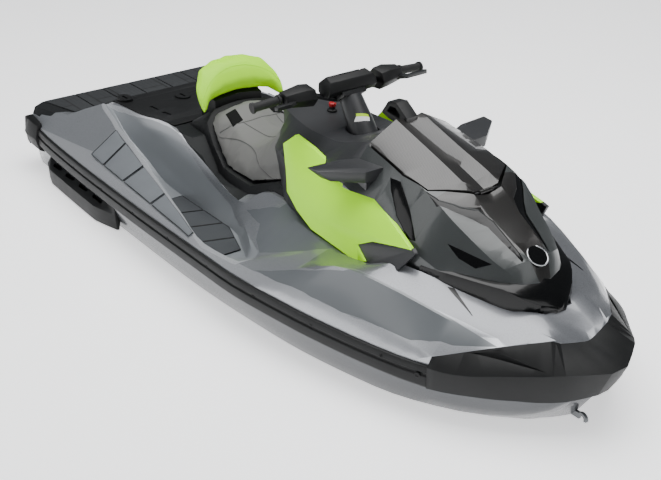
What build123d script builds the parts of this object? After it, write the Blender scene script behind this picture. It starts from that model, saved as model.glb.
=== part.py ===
from build123d import *
import math
import os

# Personal watercraft, millimetres.
# +X points to the bow, +Y to port and +Z up. The origin is where the transom, the waterline
# and the middle plane meet.

os.makedirs("parts", exist_ok=True)

# ---- driving sizes ------------------------------------------------------------------
GAP = 0.3                    # seating gap between two fixed mouldings
RUNNING = 0.05               # radial clearance of a pin in its bore

HULL_LENGTH = 3190.0         # transom to the stem, under the bow bumper
SHEER_HALF = 610.0           # widest half breadth of hull and deck, inside the rail
DRAUGHT = 270.0              # waterline down to the keel
RAIL_PROUD = 16.0            # rub rail, out from the hull side
RAIL_TALL = 80.0
FOOTWELL_FLOOR = 168.0
BOND_HEIGHT = 160.0          # where hull and deck meet, behind the rail
PLATFORM_TOP = 312.0
MAT_THICK = 6.0

PUMP_HEIGHT = -150.0         # pump axis, from the waterline
PUMP_BORE = 78.0             # wear ring bore radius
PUMP_WALL = 14.0
OUTLET_RADIUS = 36.0         # bore of the pump outlet inside the steering nozzle
IMPELLER_RADIUS = 70.0
SHAFT_RADIUS = 14.0
NOZZLE_PIVOT_X = 140.0
NOZZLE_RADIUS = 56.0         # inside of the steering nozzle's bell
NOZZLE_WALL = 6.0
BUCKET_RADIUS = 134.0        # inside of the reverse bucket, from its pivot
BUCKET_WALL = 7.0
RECESS_HALF = 152.0          # pump recess in the hull

BAR_RADIUS = 11.0
GRIP_RADIUS = 17.0
BAR_END = 398.0              # middle plane to the end of the handlebar
STEER_LEAN = 35.0            # steering column, back from vertical, degrees
STEER_X = 1880.0             # a point on the steering axis
STEER_Z = 790.0

EYE_X = 3168.0               # centre of the bow eye
EYE_Z = 5.0

ENGINE_LENGTH = 540.0
ENGINE_WIDTH = 380.0
ENGINE_HEIGHT = 300.0

LID_HINGE_X = 2650.0
LID_HINGE_Z = 652.0
BIN_WALL = 6.0
LID_GAP = 6.0
LID_FRONT = 2646.0           # front edge of the lid, at its hinge


def along(x, table):
    """Fair curve through rows of (x, value, ...), read at x, with no overshoot between rows."""
    x = min(max(x, table[0][0]), table[-1][0])
    i = max(k for k in range(len(table) - 1) if table[k][0] <= x)
    span = table[i + 1][0] - table[i][0]
    t = (x - table[i][0]) / span

    def rise(k, column):
        """Slope of the chord from row k to the next, repeated past the table's ends."""
        k = min(max(k, 0), len(table) - 2)
        return (table[k + 1][column] - table[k][column]) / (table[k + 1][0] - table[k][0])

    def slope(k, column):
        """Slope of the fair curve at row k: the harmonic mean of its two chords."""
        before, after = rise(k - 1, column), rise(k, column)
        return 2 * before * after / (before + after) if before * after > 0 else 0

    return tuple(
        (1 + 2 * t) * (1 - t) ** 2 * table[i][c] + t * t * (3 - 2 * t) * table[i + 1][c]
        + span * (t * (1 - t) ** 2 * slope(i, c) - t * t * (1 - t) * slope(i + 1, c))
        for c in range(1, len(table[0])))


def spaced(keys, step):
    """Key stations with even ones between them, no two further apart than step."""
    result = [keys[0]]
    for low, high in zip(keys, keys[1:]):
        count = math.ceil((high - low) / step)
        result += [low + (high - low) * i / count for i in range(1, count + 1)]
    return result


def section(x, half):
    """One cross-section at x, from its port half listed bottom middle to top middle."""
    mirrored = [(-y, z) for y, z in reversed(half) if y > 0]
    return [(x, y, z) for y, z in (*half, *mirrored)]


def skin(outlines):
    """Faceted solid over a row of outlines with equal counts, mirrored diagonals on its second half."""
    count = len(outlines[0])
    corners = []
    for near, far in zip(outlines, outlines[1:]):
        for i in range(count):
            a, b, c, d = near[i], near[(i + 1) % count], far[(i + 1) % count], far[i]
            corners += [(a, b, c), (a, c, d)] if 2 * i < count else [(a, b, d), (b, c, d)]
    corners += [outlines[0], outlines[-1]]
    return Solid(Shell([Face(Wire(Polyline(*points, close=True).edges())) for points in corners]))


def largest(part):
    """The biggest solid of a part, without the slivers that a cut leaves."""
    return part.solids().sort_by(SortBy.VOLUME)[-1]


def slab(outline, low, high):
    """A side-view outline (x, z), taken through from y = low to y = high."""
    with BuildPart() as piece:
        with BuildSketch(Plane.XZ.offset(-low)):
            with BuildLine():
                Polyline(*outline, close=True)
            make_face()
        extrude(amount=low - high)
    return piece.part


# ---- lines of the hull ----------------------------------------------------------------
# Rows are (x, half breadth) or (x, height) or (x, half breadth, height).
L = HULL_LENGTH / 3190.0
W = SHEER_HALF / 610.0
SHEER = tuple((x * L, y * W) for x, y in (
    (0, 539), (300, 574), (800, 599), (1400, 610), (1900, 610), (2270, 571), (2550, 515), (2745, 462),
    (2865, 415), (2998, 345), (3060, 297), (3105, 248), (3150, 186), (3190, 122)))
RAIL_LOW = tuple((x * L, z) for x, z in ((0, 150), (2000, 150), (2600, 140), (2864, 134)))
KEEL = tuple((x * L, z) for x, z in (
    (0, -DRAUGHT), (2000, -DRAUGHT), (2300, -254), (2600, -222), (2900, -150), (3050, -80),
    (3105, -25), (3150, 35), (3190, 100)))
CHINE = tuple((x * L, y * W, z) for x, y, z in (
    (0, 505, -10), (800, 535, -10), (1500, 545, -8), (2100, 515, -6), (2600, 430, 0),
    (2900, 320, 20), (3050, 225, 45), (3105, 185, 66), (3150, 148, 90), (3190, 98, 125)))
KEEL_PAD = tuple((x * L, y * W) for x, y in ((0, 88), (1000, 84), (2000, 34), (2600, 14), (3190, 5)))
STATION_STEP = 90 * L
HULL_STATIONS = spaced([x * L for x in (0, 2100, 2600, 2900, 3050, 3105, 3150, 3190)], STATION_STEP)


def hull_half(x):
    """Keel, lifting strake, chine flat, topside and bond flange at x."""
    keel = along(x, KEEL)[0]
    chine_y, chine_z = along(x, CHINE)
    sheer = along(x, SHEER)[0]
    rise = chine_z - keel
    strake = 0.52 * chine_y
    step = 0.035 * rise + 1
    return [
        (0, keel),
        (along(x, KEEL_PAD)[0], keel + 0.01 * rise),
        (strake, keel + 0.50 * rise),
        (strake + 0.05 * chine_y, keel + 0.50 * rise + step / 2),
        (0.91 * chine_y, chine_z - 0.10 * rise),
        (chine_y, chine_z),
        (chine_y + 0.30 * (sheer - chine_y), chine_z + 0.28 * (BOND_HEIGHT - chine_z)),
        (sheer - 6, BOND_HEIGHT),
        (0, BOND_HEIGHT),
    ]


hull_form = skin([section(station, hull_half(station)) for station in HULL_STATIONS])
with BuildPart() as hull_shell:
    add(hull_form)
    # Pump recess, open aft and below.
    add(slab(((-5, -320), (430, -320), (430, 50), (-5, 50)), -RECESS_HALF, RECESS_HALF), mode=Mode.SUBTRACT)
    # Intake duct, rising aft to the pump.
    add(slab(((425, -320), (930, -320), (900, -240), (560, -70), (425, -70)), -76, 76), mode=Mode.SUBTRACT)
    # Shaft tunnel and engine bay.
    with BuildSketch(Plane.YZ.offset(500)):
        with Locations((0, PUMP_HEIGHT)):
            Circle(SHAFT_RADIUS + 7)
    extrude(amount=520, mode=Mode.SUBTRACT)
    add(slab(((1010, -192), (1570, -192), (1570, 200), (1010, 200)), -205, 205), mode=Mode.SUBTRACT)
hull_shell.part.label = "hull_shell"
export_step(hull_shell.part, "parts/hull_shell.step")


# ---- lines of the deck ----------------------------------------------------------------
# LEDGE, RIDGE, OUTER_FOOT, INNER_FOOT, WALL, SHELF and TOP run from the rail inwards. Aft they
# are haunch ridge, footwell and pedestal; forward they are gunwale crease and hood seat.
LEDGE = ((0, 526, 264), (250, 508, 270), (400, 518, 272), (680, 560, 262), (828, 570, 262), (1120, 584, 262),
         (1524, 596, 255), (1720, 596, 240), (2043, 576, 256), (2260, 551, 286), (2465, 504, 300),
         (2583, 474, 300), (2750, 428, 284), (2864, 412, 250), (2950, 326, 280), (3023, 257, 302),
         (3126, 149, 332), (3160, 101, 290))
RIDGE = ((0, 512, 296), (250, 452, 314), (400, 332, 388), (828, 420, 361), (1120, 460, 305), (1467, 540, 288),
         (1720, 578, 250), (2043, 552, 268), (2465, 440, 410), (2583, 412, 403), (2750, 362, 374),
         (2864, 325, 349), (2950, 284, 324), (3023, 250, 306), (3126, 142, 337), (3160, 95, 295))
OUTER_FOOT = ((0, 470, PLATFORM_TOP), (250, 420, PLATFORM_TOP), (400, 324, 386), (680, 385, 300),
              (828, 398, 235), (960, 420, 180), (1120, 445, FOOTWELL_FLOOR), (1524, 520, FOOTWELL_FLOOR),
              (1720, 548, FOOTWELL_FLOOR), (1940, 535, 258), (2043, 496, 296), (2260, 440, 366),
              (2465, 408, 411), (2583, 385, 412), (2750, 325, 390), (2864, 270, 368), (2950, 240, 342),
              (3023, 205, 328), (3126, 128, 334), (3160, 90, 300))
INNER_FOOT = ((0, 330, PLATFORM_TOP), (250, 330, PLATFORM_TOP), (400, 316, 386), (680, 345, 300),
              (828, 332, 235), (960, 330, 180), (1120, 330, FOOTWELL_FLOOR), (1524, 335, FOOTWELL_FLOOR),
              (1720, 405, FOOTWELL_FLOOR), (1940, 498, 256), (2043, 465, 302), (2260, 400, 374),
              (2465, 375, 410), (2583, 348, 436), (2750, 268, 402), (2864, 200, 380), (2950, 160, 358),
              (3023, 150, 350), (3126, 118, 330), (3160, 85, 303))
WALL = ((0, 260, PLATFORM_TOP), (250, 290, PLATFORM_TOP), (400, 308, 387), (680, 318, 352), (960, 312, 330),
        (1120, 314, 290), (1260, 316, 270), (1467, 304, 232), (1720, 385, 246), (1940, 478, 270),
        (2043, 452, 306), (2260, 375, 380), (2465, 352, 404), (2583, 324, 450), (2750, 240, 410),
        (2864, 175, 384), (2950, 118, 366), (3023, 113, 364), (3126, 108, 328), (3160, 75, 305))
SHELF = ((0, 190, PLATFORM_TOP), (250, 250, PLATFORM_TOP), (400, 294, 388), (680, 296, 410), (960, 290, 446),
         (1120, 294, 408), (1260, 298, 368), (1524, 298, 286), (1839, 300, 363), (2043, 332, 376),
         (2260, 345, 379), (2465, 330, 379), (2583, 300, 379), (2750, 214, 345), (2864, 150, 330),
         (2950, 98, 324), (3023, 60, 358), (3126, 60, 320), (3160, 45, 306))
TOP = ((0, 120, PLATFORM_TOP), (250, 200, PLATFORM_TOP), (400, 262, 388), (680, 266, 400), (960, 262, 425),
       (1120, 262, 425), (1260, 262, 300), (1524, 262, 300), (1720, 262, 379), (2465, 262, 379),
       (2583, 240, 379), (2750, 170, 345), (2864, 110, 330), (2950, 60, 324), (3023, 20, 357),
       (3126, 20, 318), (3160, 15, 306))
DECK_SIDE = ((0, 236), (2000, 236), (2600, 226), (2850, 218), (2900, 205), (3160, 200))
DECK_LINES = (LEDGE, RIDGE, OUTER_FOOT, INNER_FOOT, WALL, SHELF, TOP)
DECK_STATIONS = (0, 250, 400, 680, 828, 960, 1120, 1260, 1467, 1524, 1720, 1839, 1940, 2043,
                 2260, 2465, 2583, 2750, 2864, 2950, 3023, 3126, 3160)


def deck_line(x, line):
    """Half breadth and height of a deck line at x, stretched with the hull."""
    y, z = along(x / L, line)
    return y * W, z


def deck_half(x):
    sheer = along(x, SHEER)[0]
    bond = BOND_HEIGHT + GAP
    top_y, top_z = deck_line(x, TOP)
    return ([(0, bond), (sheer - 6, bond), (sheer, bond + 14), (sheer - 2, along(x / L, DECK_SIDE)[0])]
            + [deck_line(x, line) for line in DECK_LINES] + [(0, top_z)])


# Bow bumper lines on the port side, in even steps from the rail's end to the tip:
# (step, x, half breadth, height).
BUMPER_LOWER = ((0, 2864.3, 431, 134), (1, 2920, 406, 138), (2, 2998, 352, 141), (3, 3060, 305, 144),
                (4, 3107, 258, 145), (5, 3152, 213, 145), (6, 3207, 132, 145), (7, 3240, 24, 145))
BUMPER_CREASE = ((0, 2864.3, 431, 214), (1, 2920, 411, 216), (2, 2998, 364, 224), (3, 3060, 310, 235),
                 (4, 3120, 256, 244), (5, 3170, 212, 252), (6, 3219, 163, 262), (7, 3297, 37, 262))
BUMPER_TOP = ((0, 2864.3, 411, 250), (1, 2910, 366, 266), (2, 2968, 308, 287), (3, 3023, 251, 306),
              (4, 3076, 195, 322), (5, 3126, 142.5, 337), (6, 3137, 108, 321), (7, 3158, 16, 306))


def bumper_cut(step):
    """Section of the bow bumper: face, sloping top, and a wall down inside the top edge."""
    lower, crease, top = along(step, BUMPER_LOWER), along(step, BUMPER_CREASE), along(step, BUMPER_TOP)
    return [(x * L, y * W, z) for x, y, z in (lower, crease, top, (top[0], top[1], lower[2]))]


port_cuts = [bumper_cut(step) for step in spaced((0, 7), 0.5)]
bumper_cuts = port_cuts + [[(x, -y, z) for x, y, z in cut] for cut in reversed(port_cuts)]
bumper_form = skin(bumper_cuts)


def dart(corners, over, depth):
    """Triangular pocket cut straight down: its corners on the surface, raised by over."""
    face = Face(Wire(Polyline(*[(x, y, z + over) for x, y, z in corners], close=True).edges()))
    return extrude(face, amount=over + depth, dir=(0, 0, -1))


BUMPER_DART = ((2950 * L, 330 * W, 278), (3018 * L, 268 * W, 293), (3172 * L, 198 * W, 262))
port_dart = dart(BUMPER_DART, 14, 7)
with BuildPart() as bow_bumper:
    add(bumper_form)
    add(hull_shell.part, mode=Mode.SUBTRACT)
    add(port_dart, mode=Mode.SUBTRACT)
    add(mirror(port_dart, about=Plane.XZ), mode=Mode.SUBTRACT)
    add(largest(bow_bumper.part), mode=Mode.REPLACE)
bow_bumper.part.label = "bow_bumper"
export_step(bow_bumper.part, "parts/bow_bumper.step")

deck_stations = spaced([station * L for station in DECK_STATIONS], STATION_STEP)
deck_form = skin([section(station, deck_half(station)) for station in deck_stations])
with BuildPart() as deck_shell:
    add(deck_form)
    add(bumper_form, mode=Mode.SUBTRACT)
    add(largest(deck_shell.part), mode=Mode.REPLACE)
deck_shell.part.label = "deck_shell"
export_step(deck_shell.part, "parts/deck_shell.step")


def ring_strip(stations, corners):
    """A strip lofted along X on the port side; corners(x) gives its (y, z) outline."""
    return skin([[(x, y, z) for y, z in corners(x)] for x in stations])


def rail_corners(x):
    """Rub rail: lower lip, middle groove and upper band, standing off the sheer."""
    inner = along(x, SHEER)[0] - 10
    low = along(x, RAIL_LOW)[0]
    out = inner + 10 + RAIL_PROUD
    return [(inner, low), (out - 5, low), (out, low + 8), (out, low + 0.52 * RAIL_TALL),
            (out - 6, low + 0.58 * RAIL_TALL), (out - 6, low + 0.66 * RAIL_TALL),
            (out - 1, low + 0.72 * RAIL_TALL), (out - 5, low + RAIL_TALL), (inner, low + RAIL_TALL)]


RAIL_STATIONS = spaced([150 * L, 2600 * L, 2864 * L - GAP], STATION_STEP)
port_rail = ring_strip(RAIL_STATIONS, rail_corners)
with BuildPart() as rub_rails:
    add(port_rail)
    add(hull_shell.part, mode=Mode.SUBTRACT)
    add(deck_shell.part, mode=Mode.SUBTRACT)
    mirror(about=Plane.XZ)
rub_rails.part.label = "rub_rails"
export_step(rub_rails.part, "parts/rub_rails.step")


def stern_corners(x):
    """Stern corner bumper: a block that wraps the transom corner up to the platform edge."""
    inner = along(x, SHEER)[0] - 10
    swell = 1 - abs(x - 40) / 400
    return [(inner, 112), (inner + 34 * swell, 126), (inner + 56 * swell, 186),
            (inner + 30 * swell, 250), (inner, 262)]


port_corner = ring_strip([-GAP, 40, 149.7], stern_corners)
with BuildPart() as stern_bumpers:
    add(port_corner)
    with BuildSketch(Plane.XZ.offset(-560 * W)):
        with BuildLine():
            Polyline((-GAP, 112), (-GAP, 262), (-26, 250), (-40, 186), (-26, 126), close=True)
        make_face()
    extrude(amount=120)
    add(hull_shell.part, mode=Mode.SUBTRACT)
    add(deck_shell.part, mode=Mode.SUBTRACT)
    mirror(about=Plane.XZ)
stern_bumpers.part.label = "stern_bumpers"
export_step(stern_bumpers.part, "parts/stern_bumpers.step")


def sponson_corners(x):
    """Sponson fin: a wing along the hull side at the waterline with a down-turned outer lip."""
    chine_y, chine_z = along(x, CHINE)
    sheer = along(x, SHEER)[0]
    knee_y = chine_y + 0.30 * (sheer - chine_y)
    knee_z = chine_z + 0.28 * (BOND_HEIGHT - chine_z)
    fall = (sheer - 6 - knee_y) / (BOND_HEIGHT - knee_z)
    low, high = knee_z + 4, 112
    reach = 38 * min(1, (x - 150) / 150, (960 - x) / 150) + 6
    return [(knee_y + fall * (low - knee_z) + GAP, low), (knee_y + reach, low - 36),
            (knee_y + reach + 12, low - 34), (knee_y + reach + 16, low + 40),
            (knee_y + fall * (high - knee_z) + GAP, high)]


sponson_stations = spaced([x * L for x in (218, 300, 430, 800, 930, 949)], STATION_STEP)
port_sponson = ring_strip(sponson_stations, sponson_corners)
with BuildPart() as sponsons:
    add(port_sponson)
    add(hull_shell.part, mode=Mode.SUBTRACT)
    # Oval pockets in the top of the wing.
    with BuildSketch(Plane.XY.offset(66)):
        for x in (340 * L, 490 * L, 640 * L, 790 * L):
            with Locations((x, along(x, CHINE)[0] + 46)):
                SlotOverall(92, 22)
    extrude(amount=90, mode=Mode.SUBTRACT)
    mirror(about=Plane.XZ)
sponsons.part.label = "sponsons"
export_step(sponsons.part, "parts/sponsons.step")

# ---- jet drive ------------------------------------------------------------------------
PUMP_AXIS = Axis((0, 0, PUMP_HEIGHT), (1, 0, 0))


def turned(profile):
    """Solid of revolution about the pump axis, from (x, radius) points."""
    with BuildPart() as body:
        with BuildSketch(Plane.XZ):
            with BuildLine():
                Polyline(*[(x, PUMP_HEIGHT + radius) for x, radius in profile], close=True)
            make_face()
        revolve(axis=PUMP_AXIS)
    return body.part


# Trim arm beside the outlet, with the pin that the trim ring swings on.
with BuildPart() as trim_arm:
    with BuildSketch(Plane.XY.offset(PUMP_HEIGHT - 20)):
        with Locations((195, 93)):
            Rectangle(150, 9)
        with Locations((260, 90)):
            Rectangle(40, 12)
    extrude(amount=40)
    with BuildSketch(Plane.XZ.offset(-90)):
        with Locations((NOZZLE_PIVOT_X, PUMP_HEIGHT)):
            Circle(8)
    extrude(amount=17)
starboard_arm = mirror(trim_arm.part, about=Plane.XZ)

with BuildPart() as jet_pump_housing:
    # Wear ring, outlet cone and outlet tube in one turned wall.
    add(turned(((425, PUMP_BORE), (425, PUMP_BORE + PUMP_WALL), (235, PUMP_BORE + PUMP_WALL),
                (186, OUTLET_RADIUS + 6), (130, OUTLET_RADIUS + 6), (130, OUTLET_RADIUS),
                (186, OUTLET_RADIUS), (235, PUMP_BORE))))
    # Stator hub with its vanes, carrying the shaft bearing.
    with BuildSketch(Plane.YZ.offset(235)):
        with Locations((0, PUMP_HEIGHT)):
            Circle(34)
            with PolarLocations(0, 7):
                Rectangle(2 * PUMP_BORE + 4, 4)
    extrude(amount=50)
    with BuildSketch(Plane.YZ.offset(234)):
        with Locations((0, PUMP_HEIGHT)):
            Circle(SHAFT_RADIUS + RUNNING)
    extrude(amount=52, mode=Mode.SUBTRACT)
    # Flange on the recess wall.
    with BuildSketch(Plane.YZ.offset(413.7)):
        with Locations((0, PUMP_HEIGHT)):
            RectangleRounded(250, 220, 30)
            Circle(PUMP_BORE, mode=Mode.SUBTRACT)
    extrude(amount=16)
    add(trim_arm.part)
    add(starboard_arm)
jet_pump_housing.part.label = "jet_pump_housing"
export_step(jet_pump_housing.part, "parts/jet_pump_housing.step")

with BuildPart() as shaft:
    with BuildSketch(Plane.YZ.offset(262)):
        with Locations((0, PUMP_HEIGHT)):
            Circle(SHAFT_RADIUS)
    extrude(amount=772)
    with BuildSketch(Plane.YZ.offset(290)):
        with Locations((0, PUMP_HEIGHT)):
            Circle(34)
    extrude(amount=78)
blade = Pos(328, 0, PUMP_HEIGHT) * Rot(0, 0, 38) * Pos(0, 0, IMPELLER_RADIUS - 25) * Box(66, 7, 50)
with BuildPart() as impeller:
    add(shaft.part)
    for turn in range(4):
        add(blade.rotate(Axis((0, 0, PUMP_HEIGHT), (1, 0, 0)), 90 * turn))
impeller.part.label = "impeller"
export_step(impeller.part, "parts/impeller.step")

with BuildPart() as trim_ring:
    with BuildSketch(Plane.YZ.offset(NOZZLE_PIVOT_X - 16)):
        with Locations((0, PUMP_HEIGHT)):
            Circle(80)
            Circle(70, mode=Mode.SUBTRACT)
    extrude(amount=32)
    with BuildSketch(Plane.XZ.offset(-100)):
        with Locations((NOZZLE_PIVOT_X, PUMP_HEIGHT)):
            Circle(8 + RUNNING)
    extrude(amount=200, mode=Mode.SUBTRACT)
    with BuildSketch(Plane.XY.offset(PUMP_HEIGHT - 100)):
        with Locations((NOZZLE_PIVOT_X, 0)):
            Circle(6 + RUNNING)
    extrude(amount=200, mode=Mode.SUBTRACT)
trim_ring.part.label = "trim_ring"
export_step(trim_ring.part, "parts/trim_ring.step")

bell_x, tail_x = NOZZLE_PIVOT_X + 12, 30
with BuildPart() as steering_nozzle:
    add(turned(((bell_x, NOZZLE_RADIUS), (bell_x, NOZZLE_RADIUS + NOZZLE_WALL),
                (tail_x, 40 + NOZZLE_WALL), (tail_x, 40))))
    # Steering pins, top and bottom.
    with BuildSketch(Plane.XY.offset(PUMP_HEIGHT + NOZZLE_RADIUS + 2)):
        with Locations((NOZZLE_PIVOT_X, 0)):
            Circle(6)
    extrude(amount=79 - NOZZLE_RADIUS - 2)
    with BuildSketch(Plane.XY.offset(PUMP_HEIGHT - NOZZLE_RADIUS - 2)):
        with Locations((NOZZLE_PIVOT_X, 0)):
            Circle(6)
    extrude(amount=-(79 - NOZZLE_RADIUS - 2))
steering_nozzle.part.label = "steering_nozzle"
export_step(steering_nozzle.part, "parts/steering_nozzle.step")


def bucket_arc(radius, start, end, steps=6):
    """Points on an arc about the bucket pivot, angles up from aft."""
    return [(NOZZLE_PIVOT_X - radius * math.cos(math.radians(start + (end - start) * i / steps)),
             PUMP_HEIGHT + radius * math.sin(math.radians(start + (end - start) * i / steps)))
            for i in range(steps + 1)]


with BuildPart() as reverse_bucket:
    scoop = (bucket_arc(BUCKET_RADIUS, 30, 98) + bucket_arc(BUCKET_RADIUS + BUCKET_WALL, 98, 30))
    add(slab(scoop, -112, 112))
    cheek = bucket_arc(BUCKET_RADIUS + BUCKET_WALL, 30, 98) + [
        (NOZZLE_PIVOT_X + 16, PUMP_HEIGHT + 6), (NOZZLE_PIVOT_X + 14, PUMP_HEIGHT - 14),
        (NOZZLE_PIVOT_X - 14, PUMP_HEIGHT - 14)]
    add(slab(cheek, 105, 112))
    add(slab(cheek, -112, -105))
    with BuildSketch(Plane.XZ.offset(-120)):
        with Locations((NOZZLE_PIVOT_X, PUMP_HEIGHT)):
            Circle(9)
    extrude(amount=240, mode=Mode.SUBTRACT)
reverse_bucket.part.label = "reverse_bucket"
export_step(reverse_bucket.part, "parts/reverse_bucket.step")

with BuildPart() as bucket_pins:
    with BuildSketch(Plane.XZ.offset(-(97.5 + GAP))):
        with Locations((NOZZLE_PIVOT_X, PUMP_HEIGHT)):
            Circle(9 - RUNNING)
    extrude(amount=-(RECESS_HALF - 97.5 - 2 * GAP))
    mirror(about=Plane.XZ)
bucket_pins.part.label = "bucket_pins"
export_step(bucket_pins.part, "parts/bucket_pins.step")

with BuildPart() as ride_plate:
    with BuildSketch(Plane.XY.offset(-DRAUGHT + 2)):
        with BuildLine():
            Polyline((40, -60), (90, -118), (429.7, -118), (429.7, 118), (90, 118), (40, 60), close=True)
        make_face()
        with Locations((300, 0)):
            SlotOverall(180, 16, mode=Mode.SUBTRACT)
    extrude(amount=7)
    with BuildSketch(Plane.XY.offset(-DRAUGHT + 8)):
        with Locations((360, -60), (360, 60)):
            Rectangle(100, 12)
    extrude(amount=30)
    add(jet_pump_housing.part, mode=Mode.SUBTRACT)
ride_plate.part.label = "ride_plate"
export_step(ride_plate.part, "parts/ride_plate.step")

with BuildPart() as intake_grate:
    with BuildSketch(Plane.XZ.offset(-75.7)):
        with BuildLine():
            Polyline((432, -252), (432, -262), (907, -262), (903, -252), close=True)
        make_face()
    extrude(amount=151.4)
    with BuildSketch(Plane.XY.offset(-300)):
        with GridLocations(0, 30, 1, 5):
            with Locations((665, 0)):
                SlotOverall(420, 20)
    extrude(amount=100, mode=Mode.SUBTRACT)
intake_grate.part.label = "intake_grate"
export_step(intake_grate.part, "parts/intake_grate.step")

with BuildPart() as engine_block:
    with BuildSketch(Plane.XY.offset(-192 + GAP)):
        with Locations((1290, 0)):
            Rectangle(ENGINE_LENGTH, ENGINE_WIDTH)
    extrude(amount=ENGINE_HEIGHT)
    with BuildSketch(Plane.YZ.offset(1000)):
        with Locations((0, PUMP_HEIGHT)):
            Circle(40)
    extrude(amount=50, mode=Mode.SUBTRACT)
engine_block.part.label = "engine_block"
export_step(engine_block.part, "parts/engine_block.step")

# ---- deck fittings --------------------------------------------------------------------
with BuildPart() as bow_eye:
    with BuildSketch(Plane.XZ.offset(-6)):
        with Locations((EYE_X, EYE_Z)):
            Circle(22)
        with Locations((EYE_X - 25, EYE_Z)):
            Rectangle(40, 34)
        with Locations((EYE_X, EYE_Z)):
            Circle(11, mode=Mode.SUBTRACT)
    extrude(amount=12)
    add(hull_shell.part, mode=Mode.SUBTRACT)
bow_eye.part.label = "bow_eye"
export_step(bow_eye.part, "parts/bow_eye.step")

with BuildPart() as stern_tow_eyes:
    with BuildSketch(Plane.XZ.offset(-386)):
        with Locations((-26, 60)):
            Circle(21)
            Circle(12, mode=Mode.SUBTRACT)
    extrude(amount=12)
    with BuildSketch(Plane.YZ.offset(-GAP)):
        with Locations((380, 60)):
            RectangleRounded(60, 70, 12)
    extrude(amount=-6)
    mirror(about=Plane.XZ)
stern_tow_eyes.part.label = "stern_tow_eyes"
export_step(stern_tow_eyes.part, "parts/stern_tow_eyes.step")

with BuildPart() as platform_mat:
    with BuildSketch(Plane.XY.offset(PLATFORM_TOP + GAP)):
        with BuildLine():
            Polyline((12, -462), (238, -408), (244, -200), (248, 0), (244, 200), (238, 408), (12, 462),
                     close=True)
        make_face()
        with GridLocations(0, 150, 1, 5):
            with Locations((120, 0)):
                Rectangle(300, 6, mode=Mode.SUBTRACT)
    extrude(amount=MAT_THICK)
platform_mat.part.label = "platform_mat"
export_step(platform_mat.part, "parts/platform_mat.step")

with BuildPart() as footwell_mats:
    with BuildSketch(Plane.XY.offset(FOOTWELL_FLOOR + GAP)):
        with BuildLine():
            Polyline((1128, 338), (1520, 343), (1716, 413), (1716, 540), (1524, 512), (1128, 438), close=True)
        make_face()
        with Locations((1290, 400), (1440, 420), (1590, 440)):
            Rectangle(6, 300, rotation=20, mode=Mode.SUBTRACT)
    extrude(amount=MAT_THICK)
    mirror(about=Plane.XZ)
footwell_mats.part.label = "footwell_mats"
export_step(footwell_mats.part, "parts/footwell_mats.step")


def haunch_corners(x):
    """Knee pad on the outer haunch face, standing off it."""
    (low_y, low_z), (high_y, high_z) = deck_line(x, LEDGE), deck_line(x, RIDGE)
    run = math.hypot(high_y - low_y, high_z - low_z)
    out_y, out_z = (high_z - low_z) / run, (low_y - high_y) / run

    def spot(share, lift):
        y = low_y + share * (high_y - low_y) + lift * out_y
        z = low_z + share * (high_z - low_z) + lift * out_z
        return (y, z)

    return [spot(0.1, GAP), spot(0.1, MAT_THICK), spot(0.86, MAT_THICK), spot(0.86, GAP)]


PAD_LENGTHS = ((690, 828), (838, 1030), (1042, 1300), (1312, 1630))
port_pads = [ring_strip(spaced([start * L, end * L], STATION_STEP), haunch_corners)
             for start, end in PAD_LENGTHS]
with BuildPart() as haunch_pads:
    for pad in port_pads:
        add(pad)
    add(deck_shell.part, mode=Mode.SUBTRACT)
    mirror(about=Plane.XZ)
haunch_pads.part.label = "haunch_pads"
export_step(haunch_pads.part, "parts/haunch_pads.step")

with BuildPart() as accessory_bases:
    with BuildSketch(Plane.XY.offset(350)):
        with Locations((440, 236), (440, -236), (575, 0)):
            Ellipse(46, 34)
    extrude(amount=60)
    with BuildSketch(Plane.XY.offset(403)):
        with Locations((440, 236), (440, -236), (575, 0)):
            SlotOverall(48, 12)
    extrude(amount=20, mode=Mode.SUBTRACT)
    add(deck_shell.part, mode=Mode.SUBTRACT)
accessory_bases.part.label = "accessory_bases"
export_step(accessory_bases.part, "parts/accessory_bases.step")


def rear_panel_half(x):
    """Moulded cover lying on the rear deck, as far out as the shelf line."""
    (top_y, top_z), (shelf_y, shelf_z) = deck_line(x, TOP), deck_line(x, SHELF)
    edge_y = top_y + 0.6 * (shelf_y - top_y)
    edge_z = top_z + 0.6 * (shelf_z - top_z)
    return [(0, top_z + GAP), (top_y, top_z + GAP), (edge_y, edge_z + GAP), (edge_y, edge_z + MAT_THICK),
            (top_y, top_z + MAT_THICK), (0, top_z + MAT_THICK)]


rear_stations = spaced([x * L for x in (404, 680, 952)], STATION_STEP)
rear_cover = skin([section(x, rear_panel_half(x)) for x in rear_stations])
with BuildPart() as rear_deck_panel:
    add(rear_cover)
    add(deck_shell.part, mode=Mode.SUBTRACT)
    add(accessory_bases.part, mode=Mode.SUBTRACT)
    # Drain slots beside the seat.
    with BuildSketch(Plane.XY.offset(380)):
        with Locations((640, 190), (640, -190), (760, 190), (760, -190)):
            SlotOverall(70, 16)
    extrude(amount=60, mode=Mode.SUBTRACT)
    add(largest(rear_deck_panel.part), mode=Mode.REPLACE)
rear_deck_panel.part.label = "rear_deck_panel"
export_step(rear_deck_panel.part, "parts/rear_deck_panel.step")


# ---- seat -------------------------------------------------------------------------------
SEAT = ((965, 448, 110, 444, 170, 436, 188), (1060, 520, 130, 505, 185, 465, 200),
        (1120, 548, 138, 525, 190, 478, 205), (1260, 500, 150, 470, 205, 400, 226),
        (1396, 484, 150, 442, 220, 366, 250), (1467, 505, 140, 462, 220, 366, 250),
        (1524, 560, 120, 515, 214, 380, 248), (1580, 650, 96, 600, 208, 400, 246),
        (1720, 700, 110, 640, 215, 430, 246), (1820, 700, 120, 640, 220, 440, 246))


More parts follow.
